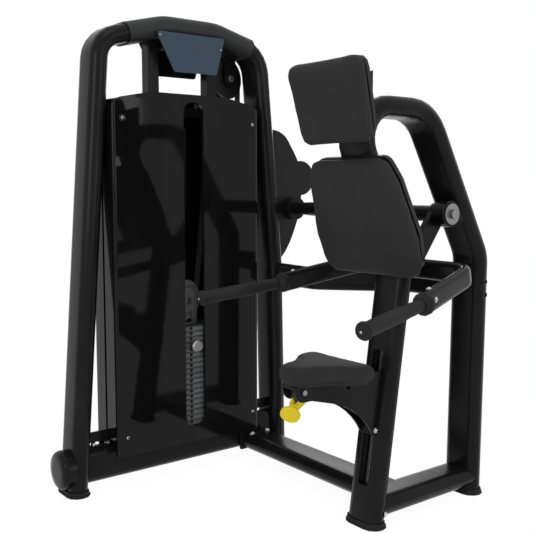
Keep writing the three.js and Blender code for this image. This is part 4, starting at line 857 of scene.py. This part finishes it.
# A spot is a place and the direction that the head faces, a size is the head's radius and height
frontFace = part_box("front_shroud")[1].x
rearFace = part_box("rear_shroud")[0].x
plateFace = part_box("front_placard")[1].x
shroudCorners = [(-0.431, 1.196), (0.073, 1.196), (-0.431, 0.170), (0.073, 0.170)]
placardCorners = [(-0.287, 1.466), (-0.052, 1.440)]
shroudSpots = [((frontFace, y, z), (1, 0, 0)) for y, z in shroudCorners]
shroudSpots += [((rearFace, y, z), (-1, 0, 0)) for y, z in shroudCorners]
screws = {
    "shroudScrews": {
        "head": roundHead,
        "size": (0.0055, 0.0036),
        "washer": False,
        "spots": [((x + shroudWasher["thick"] * way[0], y, z), way) for (x, y, z), way in shroudSpots],
    },
    "placardScrews": {
        "head": roundHead,
        "size": (0.0032, 0.002),
        "washer": False,
        "spots": [((plateFace, y, z), (1, 0, 0)) for y, z in placardCorners],
    },
    "baseTubeBolts": {
        "head": hexHead,
        "size": (0.008, 0.006),
        "spots": [((-0.742, -0.466, 0.143), (0, 0, 1)), ((-0.742, -0.518, 0.143), (0, 0, 1))],
    },
    "floorTubeBolts": {
        "head": roundHead,
        "size": (0.0085, 0.0065),
        "spots": [((-0.676, 0.078, 0.084), (0, -0.2, 0.98)), ((-0.676, 0.146, 0.084), (0, 0.2, 0.98))],
    },
    "linkBolts": {
        "head": roundHead,
        "size": (0.0088, 0.007),
        "finish": "blackBolt",
        "slot": "frame",
        "spots": [((0.0592, 0.436, 0.686), (1, 0, 0)), ((0.0594, 0.437, 0.645), (1, 0, 0))],
    },
    "postBolt": {
        "head": roundHead,
        "size": (0.0075, 0.0055),
        "spots": [((0.0527, 0.014, 0.039), (0.71, 0.70, -0.1))],
    },
    "handleScrews": {
        "head": roundHead,
        "size": (0.0052, 0.0036),
        "body": "arm",
        "spots": onBothSides((0.2893, -0.0585, 0.699), (0.97, 0.24, 0.05))
        + onBothSides((0.2715, -0.066, 0.7252), (0.1, -0.2, 0.97)),
    },
    "carriageBolts": {
        "head": roundHead,
        "size": (0.0066, 0.005),
        "body": "seat",
        "spots": onBothSides((0.0282, 0.0, 0.283), (1, 0, 0)),
    },
    "gripEndScrews": {
        "head": roundHead,
        "size": (0.0034, 0.0022),
        "washer": False,
        "body": "arm",
        "spots": onBothSides((0.3361, -0.3655, 0.6566), (0.19, -0.97, -0.12)),
    },
}


def setWashers(shape, spots):
    bm = bmesh.new()
    for place, direction in spots:
        part = bmesh.new()
        drawUp(part, disc(part, shape["sides"], shape["radius"]), shape["steps"], shape["thick"])
        pour(part, bm, facing(place, direction))
    finishPiece("shroudWashers", bm, "rubber", "root")


def setScrews(name, row):
    bm = bmesh.new()
    for place, direction in row["spots"]:
        pour(screw(row["head"], *row["size"], row.get("washer", True)), bm, facing(place, direction))
    finishPiece(name, bm, row.get("finish", "steel"), row.get("body", "root"))


setWashers(shroudWasher, shroudSpots)
for name, row in screws.items():
    setScrews(name, row)
print("screws and bolts set")


# Lamps, room, floor and camera
def placed(name, data):
    thing = bpy.data.objects.new(name, data)
    bpy.context.scene.collection.objects.link(thing)
    return thing


def setLamps():
    for name, place, target, size, watts in studio["lamps"]:
        lamp = bpy.data.lights.new(name, "AREA")
        lamp.shape = "DISK"
        lamp.size = size
        lamp.energy = watts
        thing = placed(name, lamp)
        thing.location = place
        thing.rotation_euler = (Vector(target) - Vector(place)).to_track_quat("-Z", "Y").to_euler()


def setRoom():                              # plain white to the camera, dimmer to what it lights
    world = bpy.data.worlds.new("whiteRoom")
    bpy.context.scene.world = world
    world.use_nodes = True
    graph = Graph(world.node_tree)
    graph.tree.nodes.clear()
    white = (1, 1, 1, 1)
    room = graph.node("ShaderNodeBackground", values={"Color": white, "Strength": studio["skyGlow"]})
    backdrop = graph.node("ShaderNodeBackground", values={"Color": white})
    clear = graph.seen().larger(graph.ray("Transmission"))
    both = graph.node("ShaderNodeMixShader", values={0: clear, 1: room, 2: backdrop})
    graph.node("ShaderNodeOutputWorld", values={"Surface": both})


def setFloor():
    bm = bmesh.new()
    bmesh.ops.create_grid(bm, x_segments=1, y_segments=1, size=studio["floorHalf"])
    mesh = bpy.data.meshes.new("studioFloor")
    bm.to_mesh(mesh)
    bm.free()
    paint = Paint("paleFloor", studio["floorColour"], studio["floorRoughness"], Specular_IOR_Level=0.0)
    lit = Wire(paint, paint.shader.outputs[0])
    glow = paint.node("ShaderNodeEmission", values={"Strength": studio["floorWhite"]})
    both = paint.node("ShaderNodeMixShader", values={0: paint.seen() * studio["floorGlow"], 1: lit, 2: glow})
    paint.put(paint.tree.nodes["Material Output"], {"Surface": both})
    mesh.materials.append(paint.material)
    floor = placed("studioFloor", mesh)


def setCamera():
    scene = bpy.context.scene
    lens = bpy.data.cameras.new("photoCamera")
    lens.lens = shot["lens"]
    lens.sensor_width = shot["sensor"]
    lens.clip_end = shot["farthest"]
    eye = placed("photoCamera", lens)
    eye.location = shot["place"]
    eye.rotation_euler = (radians(90 - shot["pitch"]), 0, radians(shot["azimuth"]))
    scene.camera = eye
    scene.view_settings.view_transform = "Standard"


setLamps()
setRoom()
setFloor()
setCamera()
print("studio set")
